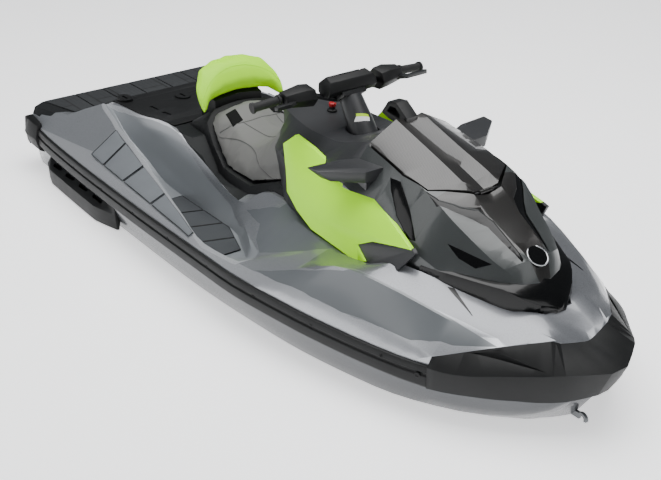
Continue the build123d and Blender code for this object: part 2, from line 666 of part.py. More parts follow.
def seat_half(x):
    """Seat at x: floor, side foot, side knee, top seam, crown."""
    crown, seam_y, seam_z, knee_y, knee_z, foot_y = along(x, SEAT)
    floor = deck_line(x, TOP)[1] + GAP
    return [(0, floor), (foot_y, floor), (knee_y, knee_z), (seam_y, seam_z), (0, crown)]


seat_form = skin([section(x, seat_half(x)) for x in spaced([row[0] for row in SEAT], 60)])

# Bolster sections across the craft: (y, x, z, half height, half thickness).
BOLSTER = ((-224, 1114, 560, 40, 16), (-210, 1094, 578, 66, 28), (-162, 1058, 618, 86, 38),
           (-80, 1034, 634, 95, 44), (0, 1028, 640, 96, 46), (80, 1034, 634, 95, 44),
           (162, 1058, 618, 86, 38), (210, 1094, 578, 66, 28), (224, 1114, 560, 40, 16))


def bolster_cut(y, x, z, half_tall, half_thick, sides=14):
    """Rounded section of the bolster, leaning back."""
    lean = math.radians(32)
    turns = [2 * math.pi * i / sides for i in range(sides)]
    spots = [(half_thick * math.cos(turn), half_tall * math.sin(turn)) for turn in turns]
    return [(x + u * math.cos(lean) - v * math.sin(lean), y, z + u * math.sin(lean) + v * math.cos(lean))
            for u, v in spots]


bolster_form = skin([bolster_cut(*row) for row in BOLSTER])
with BuildPart() as backrest_bolster:
    add(bolster_form)
backrest_bolster.part.label = "backrest_bolster"
export_step(backrest_bolster.part, "parts/backrest_bolster.step")

SEAT_JOIN = ((1046, 560), (1216, 380), (1286, 336), (1524, 334), (1700, 408), (1820, 412))
CONSOLE_JOIN = ((1540, 710), (1700, 548), (1812, 360))
front_of_join = slab((*SEAT_JOIN, (2300, 412), (2300, 800), (1046, 800)), -500, 500)
behind_console = slab((*CONSOLE_JOIN, (1812, 200), (600, 200), (600, 900), (1540, 900)), -500, 500)
with BuildPart() as seat_cushion:
    add(seat_form)
    add(front_of_join, mode=Mode.INTERSECT)
    add(behind_console, mode=Mode.INTERSECT)
    add(backrest_bolster.part, mode=Mode.SUBTRACT)
    add(deck_shell.part, mode=Mode.SUBTRACT)
seat_cushion.part.label = "seat_cushion"
export_step(seat_cushion.part, "parts/seat_cushion.step")

with BuildPart() as seat_base:
    add(seat_form)
    add(deck_shell.part, mode=Mode.SUBTRACT)
    add(front_of_join, mode=Mode.SUBTRACT)
    add(behind_console, mode=Mode.INTERSECT)
    add(backrest_bolster.part, mode=Mode.SUBTRACT)
    add(largest(seat_base.part), mode=Mode.REPLACE)
seat_base.part.label = "seat_base"
export_step(seat_base.part, "parts/seat_base.step")

with BuildPart() as bolster_mount:
    add(slab(((962, 440), (950, 520), (962, 640), (996, 660), (1080, 560), (1080, 500)), -120, 120))
    add(seat_form, mode=Mode.SUBTRACT)
    add(backrest_bolster.part, mode=Mode.SUBTRACT)
    add(deck_shell.part, mode=Mode.SUBTRACT)
    add(largest(bolster_mount.part), mode=Mode.REPLACE)
bolster_mount.part.label = "bolster_mount"
export_step(bolster_mount.part, "parts/bolster_mount.step")

# ---- console and hood -----------------------------------------------------------------
def panel_plane(x, z, out):
    """Half breadth of the side panel's slanting face, out from it."""
    return 393.5 + 0.0523 * x - 0.4165 * z + out


def side_plate(outline, inner, outer):
    """Plate on the port slanting side face: an outline (x, z), its skins at two offsets."""
    face = Face(Wire(Polyline(*[(x, panel_plane(x, z, inner), z) for x, z in outline], close=True).edges()))
    return extrude(face, amount=outer - inner, dir=(0, 1, 0))


PANEL = ((1771, 600), (1840, 520), (1887, 456), (1980, 418), (2090, 391), (2390, 384), (2440, 402),
         (2370, 434), (2439, 470), (2557, 498), (2637, 515), (2500, 560), (2387, 600), (2200, 600),
         (1960, 640), (1830, 650))
LOWER = ((2400, 382.5), (2366, 432), (2436, 472), (2556, 501), (2637, 518), (2658, 508), (2604, 436),
         (2500, 384))
lime_plate = side_plate(PANEL, -18, 0)
black_plate = side_plate(LOWER, -18, -4)
panel_space = side_plate(PANEL, -18.3, 120)
lower_space = side_plate(LOWER, -18.3, 120)
CONSOLE = ((1545, 100, 380, 120, 520, 90, 668, 690), (1700, 215, 380, 225, 560, 130, 664, 676),
           (1850, 270, 380, 262, 560, 150, 658, 664), (2000, 300, 380, 270, 590, 150, 662, 664),
           (2120, 315, 380, 275, 620, 160, 700, 712), (2232, 322, 380, 280, 632, 170, 736, 768))
CONSOLE_FLOOR = 379 + GAP


def console_half(x):
    foot_y, _, knee_y, knee_z, top_y, top_z, crown = along(x, CONSOLE)
    return [(0, CONSOLE_FLOOR), (foot_y, CONSOLE_FLOOR), (knee_y, knee_z), (top_y, top_z), (0, crown)]


console_form = skin([section(x, console_half(x)) for x in spaced([row[0] for row in CONSOLE], 60)])
join_edge = [(x + 0.4, z) for x, z in CONSOLE_JOIN]
ahead_of_join = slab((*join_edge, (1812.4, 200), (2600, 200), (2600, 900), (1540.4, 900)), -500, 500)


def hood_half(x):
    foot_y, foot_z, base_y, base_z, edge_y, edge_z, ridge_y, ridge_z, crown = along(x, HOOD)
    return [(0, foot_z), (foot_y, foot_z), (base_y, base_z), (edge_y, edge_z), (ridge_y, ridge_z), (0, crown)]


HOOD = ((2238, 325, CONSOLE_FLOOR, 300, 612, 180, 738, 60, 800, 787),
        (2436, 325, CONSOLE_FLOOR, 300, 556, 188, 697, 60, 737, 724),
        (2600, 300, CONSOLE_FLOOR, 285, 500, 190, 655, 64, 685, 670),
        (2650, 288, 372, 280, 480, 190, 631, 64, 664, 650),
        (2740, 246, 346, 243, 440, 170, 572, 60, 604, 590),
        (2850, 183, 331, 183, 408, 140, 505, 48, 545, 534),
        (2915, 142, 326, 142, 388, 105, 462, 40, 506, 499), (2952, 112, 324, 112, 378, 70, 410, 26, 436, 430))
hood_skin = skin([section(x, hood_half(x)) for x in spaced([row[0] for row in HOOD], 50)])
with BuildPart() as hood_form:
    add(hood_skin)
    for space in (panel_space, lower_space):
        add(space, mode=Mode.SUBTRACT)
        add(mirror(space, about=Plane.XZ), mode=Mode.SUBTRACT)
    add(deck_shell.part, mode=Mode.SUBTRACT)


def lid_plan(shrink, front, low, high):
    """Prism over the lid's plan outline, drawn in by shrink at its sides and ending at front."""
    with BuildPart() as prism:
        with BuildSketch(Plane.XY.offset(low)):
            with BuildLine():
                Polyline((2230 + shrink, shrink - 186), (2440, shrink - 196),
                         (2560 - shrink / 2, shrink - 186), (front, -60), (front, 60),
                         (2560 - shrink / 2, 186 - shrink), (2440, 196 - shrink),
                         (2230 + shrink, 186 - shrink), close=True)
            make_face()
        extrude(amount=high - low)
    return prism.part


def hinge_rod(radius, reach):
    """Round rod along the lid's hinge line, reaching equally to port and starboard."""
    with BuildPart() as rod:
        with BuildSketch(Plane.XZ.offset(-reach)):
            with Locations((LID_HINGE_X, LID_HINGE_Z)):
                Circle(radius)
        extrude(amount=2 * reach)
    return rod.part


LID_FLOOR = ((2236, 718), (2436, 654), (2665, 584))
lid_cut = (lid_plan(0, LID_FRONT + 16, 540, 900)
           & slab(((2200, 732), *LID_FLOOR, (2700, 900), (2200, 900)), -300, 300))
lid_underside = [(x, z + LID_GAP) for x, z in LID_FLOOR]
lid_body = (lid_plan(LID_GAP, LID_FRONT, 540, 900)
            & slab((*lid_underside, (2700, 900), (2236, 900)), -300, 300))
# Gloss strips let into the hood, as plan outlines on the port side: a crooked one from the lid's
# corner to the nose, and one down the rear edge.
CROOK = ((2556, 190), (2612, 178), (2668, 130), (2705, 80), (2756, 60), (2900, 55), (2904, 64), (2836, 78),
         (2762, 90), (2718, 120), (2672, 160), (2622, 196))
REAR_STRIP = ((2398, 214), (2444, 206), (2530, 236), (2606, 270), (2574, 280), (2500, 268), (2428, 236))
STRIP_DEPTH = 10.0


def strips(low, high):
    """Upright prisms over the strips' outlines, less everything lower than low under the skin of
    the hood or higher than high."""
    with BuildPart() as prism:
        with BuildSketch(Plane.XY.offset(430)):
            for outline in (CROOK, REAR_STRIP):
                with BuildLine():
                    Polyline(*outline, close=True)
                make_face()
        extrude(amount=400)
        add(Pos(0, 0, -low) * hood_skin, mode=Mode.SUBTRACT)
        if high:
            add(Pos(0, 0, -high) * hood_skin, mode=Mode.INTERSECT)
        mirror(about=Plane.XZ)
    return prism.part


with BuildPart() as hood_inserts:
    add(strips(STRIP_DEPTH - GAP, 4))
    add(lid_cut, mode=Mode.SUBTRACT)
hood_inserts.part.label = "hood_inserts"
export_step(hood_inserts.part, "parts/hood_inserts.step")

with BuildPart() as hood_shell:
    add(hood_form.part)
    add(strips(STRIP_DEPTH, 0), mode=Mode.SUBTRACT)
    add(lid_cut, mode=Mode.SUBTRACT)
    with BuildSketch(Plane.XY.offset(450)):
        with Locations((2420, 0)):
            Rectangle(300, 260)
    extrude(amount=400, mode=Mode.SUBTRACT)
    # Notch for the lid's knuckle, and the holes of its pin.
    add(hinge_rod(13, 36), mode=Mode.SUBTRACT)
    add(hinge_rod(4, 52), mode=Mode.SUBTRACT)
hood_shell.part.label = "hood_shell"
export_step(hood_shell.part, "parts/hood_shell.step")

with BuildPart() as lid_hinge:
    add(hinge_rod(4, 52))
lid_hinge.part.label = "lid_hinge"
export_step(lid_hinge.part, "parts/lid_hinge.step")

with BuildPart() as storage_bin:
    with BuildSketch(Plane.XY.offset(450 + GAP)):
        with Locations((2420, 0)):
            Rectangle(300 - 2 * GAP, 260 - 2 * GAP)
    extrude(amount=400)
    with BuildSketch(Plane.XY.offset(450 + GAP + BIN_WALL)):
        with Locations((2420, 0)):
            Rectangle(300 - 2 * GAP - 2 * BIN_WALL, 260 - 2 * GAP - 2 * BIN_WALL)
    extrude(amount=400, mode=Mode.SUBTRACT)
    # The rim follows the lid's underside and carries it.
    rim_line = [(x, z - GAP) for x, z in lid_underside]
    add(slab((*rim_line, (2665, 900), (2236, 900)), -300, 300), mode=Mode.SUBTRACT)
storage_bin.part.label = "storage_bin"
export_step(storage_bin.part, "parts/storage_bin.step")

with BuildPart() as storage_lid:
    add(hood_form.part)
    add(lid_body, mode=Mode.INTERSECT)
    add(hinge_rod(8, 30))
    add(hinge_rod(4 + RUNNING, 40), mode=Mode.SUBTRACT)
    # Pull handle over the console.
    add(slab(((2256, 755), (2150, 772), (2112, 784), (2150, 836), (2196, 842), (2256, 800)), -26, 26))
    add(slab(((2216, 785), (2160, 792), (2144, 797), (2160, 820), (2190, 822), (2216, 806)), -40, 40),
        mode=Mode.SUBTRACT)
storage_lid.part.label = "storage_lid"
export_step(storage_lid.part, "parts/storage_lid.step")

with BuildPart() as hood_emblem:
    with BuildSketch(Plane(origin=(2905, 0, 503), x_dir=(0, 1, 0), z_dir=(0.58, 0, 0.81)).offset(-20)):
        Circle(38)
    extrude(amount=28)
    add(hood_form.part, mode=Mode.SUBTRACT)
    add(largest(hood_emblem.part), mode=Mode.REPLACE)
hood_emblem.part.label = "hood_emblem"
export_step(hood_emblem.part, "parts/hood_emblem.step")

# Gloss band round the foot of the hood, which grows into the chin: (x, half breadth, bottom, edge, crown).
CHIN = ((2650, 292, 380, 452, 470), (2740, 252, 370, 450, 468), (2848, 200, 352, 442, 456),
        (2916, 164, 338, 437, 450), (2975, 114, 330, 404, 424), (3034, 24, 330, 364, 372))


def chin_half(x):
    half, low, edge, crown = along(x, CHIN)
    return [(0, low), (half - 8, low), (half, low + 20), (half - 5, edge), (half - 18, edge + 4), (0, crown)]


chin_form = skin([section(x, chin_half(x)) for x in spaced([row[0] for row in CHIN], 50)])
with BuildPart() as hood_chin:
    add(chin_form)
    add(hood_form.part, mode=Mode.SUBTRACT)
    add(deck_shell.part, mode=Mode.SUBTRACT)
    add(bow_bumper.part, mode=Mode.SUBTRACT)
    add(hood_emblem.part, mode=Mode.SUBTRACT)
    add(lower_space, mode=Mode.SUBTRACT)
    add(mirror(lower_space, about=Plane.XZ), mode=Mode.SUBTRACT)
    add(largest(hood_chin.part), mode=Mode.REPLACE)
hood_chin.part.label = "hood_chin"
export_step(hood_chin.part, "parts/hood_chin.step")


with BuildPart() as side_panels:
    add(lime_plate)
    add(deck_shell.part, mode=Mode.SUBTRACT)
    mirror(about=Plane.XZ)
side_panels.part.label = "side_panels"
export_step(side_panels.part, "parts/side_panels.step")

with BuildPart() as lower_panels:
    add(black_plate)
    add(lime_plate, mode=Mode.SUBTRACT)
    add(deck_shell.part, mode=Mode.SUBTRACT)
    mirror(about=Plane.XZ)
lower_panels.part.label = "lower_panels"
export_step(lower_panels.part, "parts/lower_panels.step")

with BuildPart() as console:
    add(console_form)
    add(ahead_of_join, mode=Mode.INTERSECT)
    for space in (panel_space, lower_space):
        add(space, mode=Mode.SUBTRACT)
        add(mirror(space, about=Plane.XZ), mode=Mode.SUBTRACT)
    # Room for the lid's pull handle.
    add(slab(((2096, 750), (2236, 728), (2236, 900), (2096, 900)), -36, 36), mode=Mode.SUBTRACT)
    # Steering collar well.
    lean = math.radians(STEER_LEAN)
    with BuildSketch(Plane(origin=(STEER_X, 0, STEER_Z), z_dir=(-math.sin(lean), 0, math.cos(lean)))):
        Circle(62)
    extrude(amount=-300, mode=Mode.SUBTRACT)
console.part.label = "console"
export_step(console.part, "parts/console.step")

MIRROR_LOW = ((2262, 225), (2225, 300), (2215, 380), (2262, 372), (2345, 285), (2350, 235))
MIRROR_HIGH = ((2249, 190), (2200, 300), (2189, 423), (2246, 414), (2350, 285), (2352, 210))
mirror_head = skin([[(x, y, 648) for x, y in MIRROR_LOW], [(x, y, 690) for x, y in MIRROR_HIGH]])
with BuildPart() as mirrors:
    add(mirror_head)
    with BuildSketch(Plane.XY.offset(590)):
        with Locations((2312, 252)):
            Rectangle(56, 44)
    extrude(amount=70)
    add(hood_form.part, mode=Mode.SUBTRACT)
    add(console.part, mode=Mode.SUBTRACT)
    add(lime_plate, mode=Mode.SUBTRACT)
    add(largest(mirrors.part), mode=Mode.REPLACE)
    mirror(about=Plane.XZ)
mirrors.part.label = "mirrors"
export_step(mirrors.part, "parts/mirrors.step")

# ---- steering ---------------------------------------------------------------------------
LEAN = math.radians(STEER_LEAN)
STEER_UP = (-math.sin(LEAN), 0, math.cos(LEAN))
column = Plane(origin=(STEER_X, 0, STEER_Z), z_dir=STEER_UP)
STEER_OUT = (math.cos(LEAN), 0, math.sin(LEAN))
with BuildPart() as steering_neck:
    with BuildSketch(Plane(origin=column.origin, x_dir=STEER_OUT, z_dir=(0, -1, 0))):
        with BuildLine():
            Polyline((0, -270), (54, -270), (54, -150), (44, -20), (0, -20), close=True)
        make_face()
    revolve(axis=Axis((STEER_X, 0, STEER_Z), STEER_UP))
steering_neck.part.label = "steering_neck"
export_step(steering_neck.part, "parts/steering_neck.step")

with BuildPart() as steering_bearing:
    with BuildSketch(column.offset(-299.7)):
        Circle(61.7)
    extrude(amount=29.7 - GAP)
steering_bearing.part.label = "steering_bearing"
export_step(steering_bearing.part, "parts/steering_bearing.step")

with BuildPart() as handlebar:
    with BuildLine() as bar_path:
        FilletPolyline((1822, -BAR_END, 796), (1830, -285, 805), (1846, -150, 800), (1866, -60, 770),
                       (1866, 60, 770), (1846, 150, 800), (1830, 285, 805), (1822, BAR_END, 796), radius=28)
    with BuildSketch(Plane(origin=bar_path.line @ 0, z_dir=bar_path.line % 0)):
        Circle(BAR_RADIUS)
    sweep()
    # Clamp block on the neck.
    with BuildSketch(column.offset(-19.7)):
        Rectangle(74, 110)
    extrude(amount=34)
handlebar.part.label = "handlebar"
export_step(handlebar.part, "parts/handlebar.step")

grip_plane = Plane(origin=(1822, BAR_END, 796), z_dir=(8, 285 - BAR_END, 9))
with BuildPart() as grips:
    with BuildSketch(grip_plane.offset(-7)):
        Circle(GRIP_RADIUS)
    extrude(amount=118)
    with BuildSketch(grip_plane.offset(-7)):
        Circle(GRIP_RADIUS + 4)
    extrude(amount=9)
    with BuildSketch(grip_plane.offset(104)):
        Circle(GRIP_RADIUS + 5)
    extrude(amount=7)
    with BuildSketch(grip_plane):
        Circle(BAR_RADIUS + RUNNING)
    extrude(amount=130, mode=Mode.SUBTRACT)
    mirror(about=Plane.XZ)
grips.part.label = "grips"
export_step(grips.part, "parts/grips.step")

HOUSING_IN = ((1802, 776), (1798, 812), (1826, 842), (1884, 834), (1900, 798), (1872, 764), (1824, 760))
HOUSING_OUT = ((1804, 786), (1800, 814), (1820, 832), (1862, 826), (1872, 800), (1852, 776), (1820, 772))
housing_form = skin([[(x, 158, z) for x, z in HOUSING_IN], [(x, 200, z + 6) for x, z in HOUSING_IN],
                     [(x, 278, z) for x, z in HOUSING_OUT]])
with BuildPart() as control_housings:
    add(housing_form)
    add(handlebar.part, mode=Mode.SUBTRACT)
    add(grips.part, mode=Mode.SUBTRACT)
    mirror(about=Plane.XZ)
control_housings.part.label = "control_housings"
export_step(control_housings.part, "parts/control_housings.step")

with BuildPart() as gauge_pod:
    with BuildSketch(Plane.XZ.offset(-112)):
        with BuildLine():
            Polyline((1836, 806), (1838, 840), (1862, 864), (1902, 852), (1912, 812), (1900, 792),
                     (1850, 790), close=True)
        make_face()
    extrude(amount=224)
    # Sloping shoulders, and the recessed display facing the rider.
    with BuildSketch(Plane.YZ.offset(1800)):
        with BuildLine():
            Polyline((-112, 780), (-118, 826), (-88, 872), (88, 872), (118, 826), (112, 780), close=True)
        make_face()
    extrude(amount=200, mode=Mode.INTERSECT)
    with BuildSketch(Plane(origin=(1850, 0, 852), x_dir=(0, 1, 0), z_dir=(-0.7, 0, 0.714))):
        RectangleRounded(140, 50, 8)
    extrude(amount=5, both=True, mode=Mode.SUBTRACT)
    add(handlebar.part, mode=Mode.SUBTRACT)
gauge_pod.part.label = "gauge_pod"
export_step(gauge_pod.part, "parts/gauge_pod.step")


def lever(tip_y):
    """Finger lever: a bent blade reaching outwards ahead of the port grip."""
    with BuildPart() as blade:
        with BuildSketch(Plane.XY.offset(792)):
            with BuildLine():
                Polyline((1862, 236), (1880, 240), (1898, 280), (1896, tip_y), (1886, tip_y + 6),
                         (1880, tip_y - 6), (1884, 290), (1868, 262), close=True)
            make_face()
        extrude(amount=14)
        add(control_housings.part, mode=Mode.SUBTRACT)
    return blade.part


brake_blade = lever(380)
throttle_blade = mirror(lever(340), about=Plane.XZ)
with BuildPart() as brake_lever:
    add(brake_blade)
brake_lever.part.label = "brake_lever"
export_step(brake_lever.part, "parts/brake_lever.step")

with BuildPart() as throttle_lever:
    add(throttle_blade)
throttle_lever.part.label = "throttle_lever"
export_step(throttle_lever.part, "parts/throttle_lever.step")
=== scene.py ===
import math
import bmesh
import bpy
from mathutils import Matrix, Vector
from mathutils.bvhtree import BVHTree


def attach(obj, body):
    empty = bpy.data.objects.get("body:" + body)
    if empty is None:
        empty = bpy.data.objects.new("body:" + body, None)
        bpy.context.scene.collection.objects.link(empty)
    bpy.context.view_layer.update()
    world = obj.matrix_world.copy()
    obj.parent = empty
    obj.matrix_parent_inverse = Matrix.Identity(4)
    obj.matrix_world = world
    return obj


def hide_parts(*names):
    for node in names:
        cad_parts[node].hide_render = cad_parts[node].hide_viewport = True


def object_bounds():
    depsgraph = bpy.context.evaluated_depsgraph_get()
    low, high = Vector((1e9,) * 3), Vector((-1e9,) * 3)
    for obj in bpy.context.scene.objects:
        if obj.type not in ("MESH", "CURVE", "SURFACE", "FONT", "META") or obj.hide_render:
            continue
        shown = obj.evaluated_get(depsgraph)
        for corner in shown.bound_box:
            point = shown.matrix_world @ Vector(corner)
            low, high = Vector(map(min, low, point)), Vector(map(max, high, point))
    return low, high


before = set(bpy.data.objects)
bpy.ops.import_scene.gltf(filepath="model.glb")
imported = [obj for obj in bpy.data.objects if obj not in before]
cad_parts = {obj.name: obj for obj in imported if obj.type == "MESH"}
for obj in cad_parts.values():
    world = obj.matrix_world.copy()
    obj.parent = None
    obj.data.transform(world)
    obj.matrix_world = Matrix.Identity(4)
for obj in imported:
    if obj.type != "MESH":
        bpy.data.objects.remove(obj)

cad_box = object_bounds()
scene = bpy.context.scene


# ---- Stage -----------------------------------------------------------------------------
# A pale studio floor at the waterline, under a large soft box overhead and two weaker ones at
# the bow and the starboard side. Lengths in this file are in metres.
def linear(code):
    """An sRGB hex colour as linear RGBA."""
    parts = [int(code[i:i + 2], 16) / 255 for i in (0, 2, 4)]
    return [c / 12.92 if c <= 0.04045 else ((c + 0.055) / 1.055) ** 2.4 for c in parts] + [1.0]


def add_node(tree, kind, values=None, links=None, **settings):
    """Adds one node: its settings, its sockets' values, and the outputs, each as (node, output),
    that are linked into its sockets."""
    made = tree.nodes.new(kind)
    for name, value in settings.items():
        setattr(made, name, value)
    for socket, value in (values or {}).items():
        made.inputs[socket].default_value = value
    for socket, (source, output) in (links or {}).items():
        tree.links.new(source.outputs[output], made.inputs[socket])
    return made


def new_material(name):
    """An empty node material and its tree."""
    material = bpy.data.materials.new(name)
    material.use_nodes = True
    material.node_tree.nodes.clear()
    return material, material.node_tree


def clouded(name, light, dark, cloud, values, grain=None):
    """A material of two hex colours in clouds of (scale, detail), with the principled shader's
    values and a grain of (strength, depth, scale, detail)."""
    material, tree = new_material(name)
    place = add_node(tree, "ShaderNodeTexCoord")
    mottle = add_node(tree, "ShaderNodeTexNoise", {"Scale": cloud[0], "Detail": cloud[1]},
                      {"Vector": (place, "Object")})
    tint = add_node(tree, "ShaderNodeMix", {6: linear(light), 7: linear(dark)}, {0: (mottle, "Fac")},
                    data_type="RGBA")
    links = {"Base Color": (tint, 2)}
    if grain:
        strength, depth, scale, detail = grain
        tooth = add_node(tree, "ShaderNodeTexNoise", {"Scale": scale, "Detail": detail},
                         {"Vector": (place, "Object")})
        bump = add_node(tree, "ShaderNodeBump", {"Strength": strength, "Distance": depth},
                        {"Height": (tooth, "Fac")})
        links["Normal"] = (bump, "Normal")
    skin = add_node(tree, "ShaderNodeBsdfPrincipled", values, links)
    add_node(tree, "ShaderNodeOutputMaterial", None, {"Surface": (skin, "BSDF")})
    return material


FLOOR_WHITE = "FAFAFB"
sweep_matt = clouded("painted_studio_floor", FLOOR_WHITE, "F4F5F6", (3.0, 4.0), {
    "Roughness": 0.62, "Emission Color": linear(FLOOR_WHITE), "Emission Strength": 1.0})

FLOOR_REACH = 60.0
floor_mesh = bpy.data.meshes.new("studio_floor")
corners = ((-1, -1), (1, -1), (1, 1), (-1, 1))
floor_mesh.from_pydata([(FLOOR_REACH * x, FLOOR_REACH * y, 0) for x, y in corners], [], [(0, 1, 2, 3)])
floor = bpy.data.objects.new("studio_floor", floor_mesh)
floor_mesh.materials.append(sweep_matt)
scene.collection.objects.link(floor)

# White ceiling and dark walls: slanting panels then read darker than level ones.
world = bpy.data.worlds.new("studio_room")
scene.world = world
world.use_nodes = True
tree = world.node_tree
tree.nodes.clear()
place = add_node(tree, "ShaderNodeTexCoord")
heading = add_node(tree, "ShaderNodeSeparateXYZ", None, {"Vector": (place, "Generated")})
height = add_node(tree, "ShaderNodeMapRange", {"From Min": 0.8, "From Max": 0.95},
                  {"Value": (heading, "Z")}, interpolation_type="SMOOTHSTEP")
room = add_node(tree, "ShaderNodeMix", {6: linear("505356"), 7: linear("FFFFFF")},
                {0: (height, "Result")}, data_type="RGBA")
# Where the floor ends, the eye meets a pale backdrop.
ray = add_node(tree, "ShaderNodeLightPath")
backdrop = add_node(tree, "ShaderNodeMix", {7: linear("B4B6B8")},
                    {0: (ray, "Is Camera Ray"), 6: (room, 2)}, data_type="RGBA")
glow = add_node(tree, "ShaderNodeBackground", {"Strength": 1.5}, {"Color": (backdrop, 2)})
add_node(tree, "ShaderNodeOutputWorld", None, {"Surface": (glow, "Background")})

middle = (cad_box[0] + cad_box[1]) / 2
for name, offset, size, power in (("overhead_box", (0.2, 0.3, 4.4), 5.0, 340),
                                  ("bow_box", (5.0, 0.8, 2.4), 2.4, 30),
                                  ("starboard_box", (-1.0, -5.2, 3.0), 3.2, 60)):
    light = bpy.data.lights.new(name, "AREA")
    light.shape = "SQUARE"
    light.size = size
    light.energy = power
    lamp = bpy.data.objects.new(name, light)
    lamp.location = middle + Vector(offset)
    lamp.rotation_euler = (middle - lamp.location).to_track_quat("-Z", "Y").to_euler()
    scene.collection.objects.link(lamp)

CAMERA_AT = (5.2709, -2.5979, 2.2924)
CAMERA_TURN = math.radians(143.51)
CAMERA_DOWN = math.radians(26.57)
CAMERA_ROLL = math.radians(0.227)
LENS_MM = 63.89
SENSOR_MM = 36.0
level = math.cos(CAMERA_DOWN)
sight = Vector((level * math.cos(CAMERA_TURN), level * math.sin(CAMERA_TURN), -math.sin(CAMERA_DOWN)))
camera_data = bpy.data.cameras.new("camera")
camera_data.sensor_width = SENSOR_MM
camera_data.lens = LENS_MM
camera_data.clip_end = 200.0
camera = bpy.data.objects.new("camera", camera_data)
camera.location = CAMERA_AT
camera.rotation_euler = sight.to_track_quat("-Z", "Y").to_euler()
camera.rotation_euler.rotate_axis("Z", -CAMERA_ROLL)
scene.collection.objects.link(camera)
scene.camera = camera


# ---- Hull ------------------------------------------------------------------------------
# The lower half of the craft, a reinforced plastic moulding in the deck's silver gel coat, painted darker as
# painted shade.
# It comes out of one mould, so its chines are crisp but never knife edged.
WELD = 2e-5
FLAT = math.radians(0.3)


def cad_mesh(node):
    """The mesh of a CAD node."""
    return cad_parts[node].data


def welded(mesh):
    """A bmesh of a mesh, with its faces joined along their edges."""
    shape = bmesh.new()
    shape.from_mesh(mesh)
    bmesh.ops.remove_doubles(shape, verts=shape.verts, dist=WELD)
    return shape


def applied(piece):
    """The mesh that a piece's modifiers make of it, which it takes in their place."""
    bpy.context.view_layer.update()
    made = bpy.data.meshes.new_from_object(piece.evaluated_get(bpy.context.evaluated_depsgraph_get()))
    piece.modifiers.clear()
    piece.data = made
    return made


def moulding(node, body, material, crease=30.0, edge=0.0022, second=None, zone=None, shaping=None):
    """A copy of a CAD moulding with fair faces and rounded edges, standing for its node. Faces whose
    middle is in the zone take the second material."""
    mesh = cad_mesh(node).copy()
    mesh.name = node + "_finish"
    shape = welded(mesh)
    bmesh.ops.dissolve_limit(shape, angle_limit=FLAT, verts=shape.verts, edges=shape.edges)
    if shaping:
        shaping(shape)
    # An edge is rounded if it is a crease and nothing beside it is too small to take the radius.
    weight = shape.edges.layers.float.new("bevel_weight_edge")
    for side in shape.edges:
        roomy = all(near.calc_length() > 3 * edge for corner in side.verts for near in corner.link_edges)
        if roomy and len(side.link_faces) == 2 and side.calc_face_angle() > math.radians(crease):
            side[weight] = 1.0
    shape.to_mesh(mesh)
    shape.free()
    for name in ("custom_normal", "sharp_face", "sharp_edge"):
        if name in mesh.attributes:
            mesh.attributes.remove(mesh.attributes[name])
    mesh.materials.clear()
    mesh.materials.append(material)
    if second:
        mesh.materials.append(second)
    for face in mesh.polygons:
        face.material_index = int(bool(second) and zone(face.center, face.normal))
    piece = bpy.data.objects.new(node + "_finish", mesh)
    scene.collection.objects.link(piece)
    if edge:
        bevel = piece.modifiers.new("rounded_edges", "BEVEL")
        bevel.width = edge
        bevel.segments = 2
        bevel.limit_method = "WEIGHT"
        applied(piece)
    piece.data.shade_smooth()
    piece.data.set_sharp_from_angle(angle=math.radians(crease + 12))
    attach(piece, body)
    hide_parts(node)


def toned(tree, tint, *tones):
    """A colour's output with others over it, each where an output is 1: (output, hex colour)."""
    for share, code in tones:
        over = add_node(tree, "ShaderNodeMix", {7: linear(code)}, {0: share, 6: tint}, data_type="RGBA")
        tint = over, 2
    return tint


# Aluminium flake under a clear top layer, sprayed by hand in cloudy bands. The flake is 0.1 mm
# in life and drawn at 2 mm so that it shows.
SILVER = "94969A"
SILVER_DEEP = "888B8F"


def flaked_coat(tree, light=SILVER, dark=SILVER_DEEP, tones=()):
    """The gel coat's shader, with other tones of it inside areas, which on the deck are painted shade and
    painted highlights.
    """
    place = add_node(tree, "ShaderNodeTexCoord")
    cloud = add_node(tree, "ShaderNodeTexNoise", {"Scale": 2.2, "Detail": 3.0},
                     {"Vector": (place, "Object")})
    flake = add_node(tree, "ShaderNodeTexVoronoi", {"Scale": 500.0}, {"Vector": (place, "Object")})
    tint = add_node(tree, "ShaderNodeMix", {6: linear(light), 7: linear(dark)}, {0: (cloud, "Fac")},
                    data_type="RGBA")
    sparkle = add_node(tree, "ShaderNodeMapRange", {"To Min": 0.24, "To Max": 0.36},
                       {"Value": (flake, "Distance")})
    lift = add_node(tree, "ShaderNodeBump", {"Strength": 0.05, "Distance": 0.0003},
                    {"Height": (flake, "Distance")})
    return add_node(tree, "ShaderNodeBsdfPrincipled",
                    {"Metallic": 0.55, "Coat Weight": 0.6, "Coat Roughness": 0.05},
                    {"Base Color": toned(tree, (tint, 2), *tones), "Roughness": (sparkle, "Result"),
                     "Normal": (lift, "Normal")})


# The hull's coat takes darker silvers than the deck's: painted shade for the lower sides that the floor
# lights less.
hull_coat_painted_shade, tree = new_material("metallic_gel_coat_painted_shade")
coat = flaked_coat(tree, "515356", "494B4E")
add_node(tree, "ShaderNodeOutputMaterial", None, {"Surface": (coat, "BSDF")})
moulding("hull_shell", "craft", hull_coat_painted_shade)

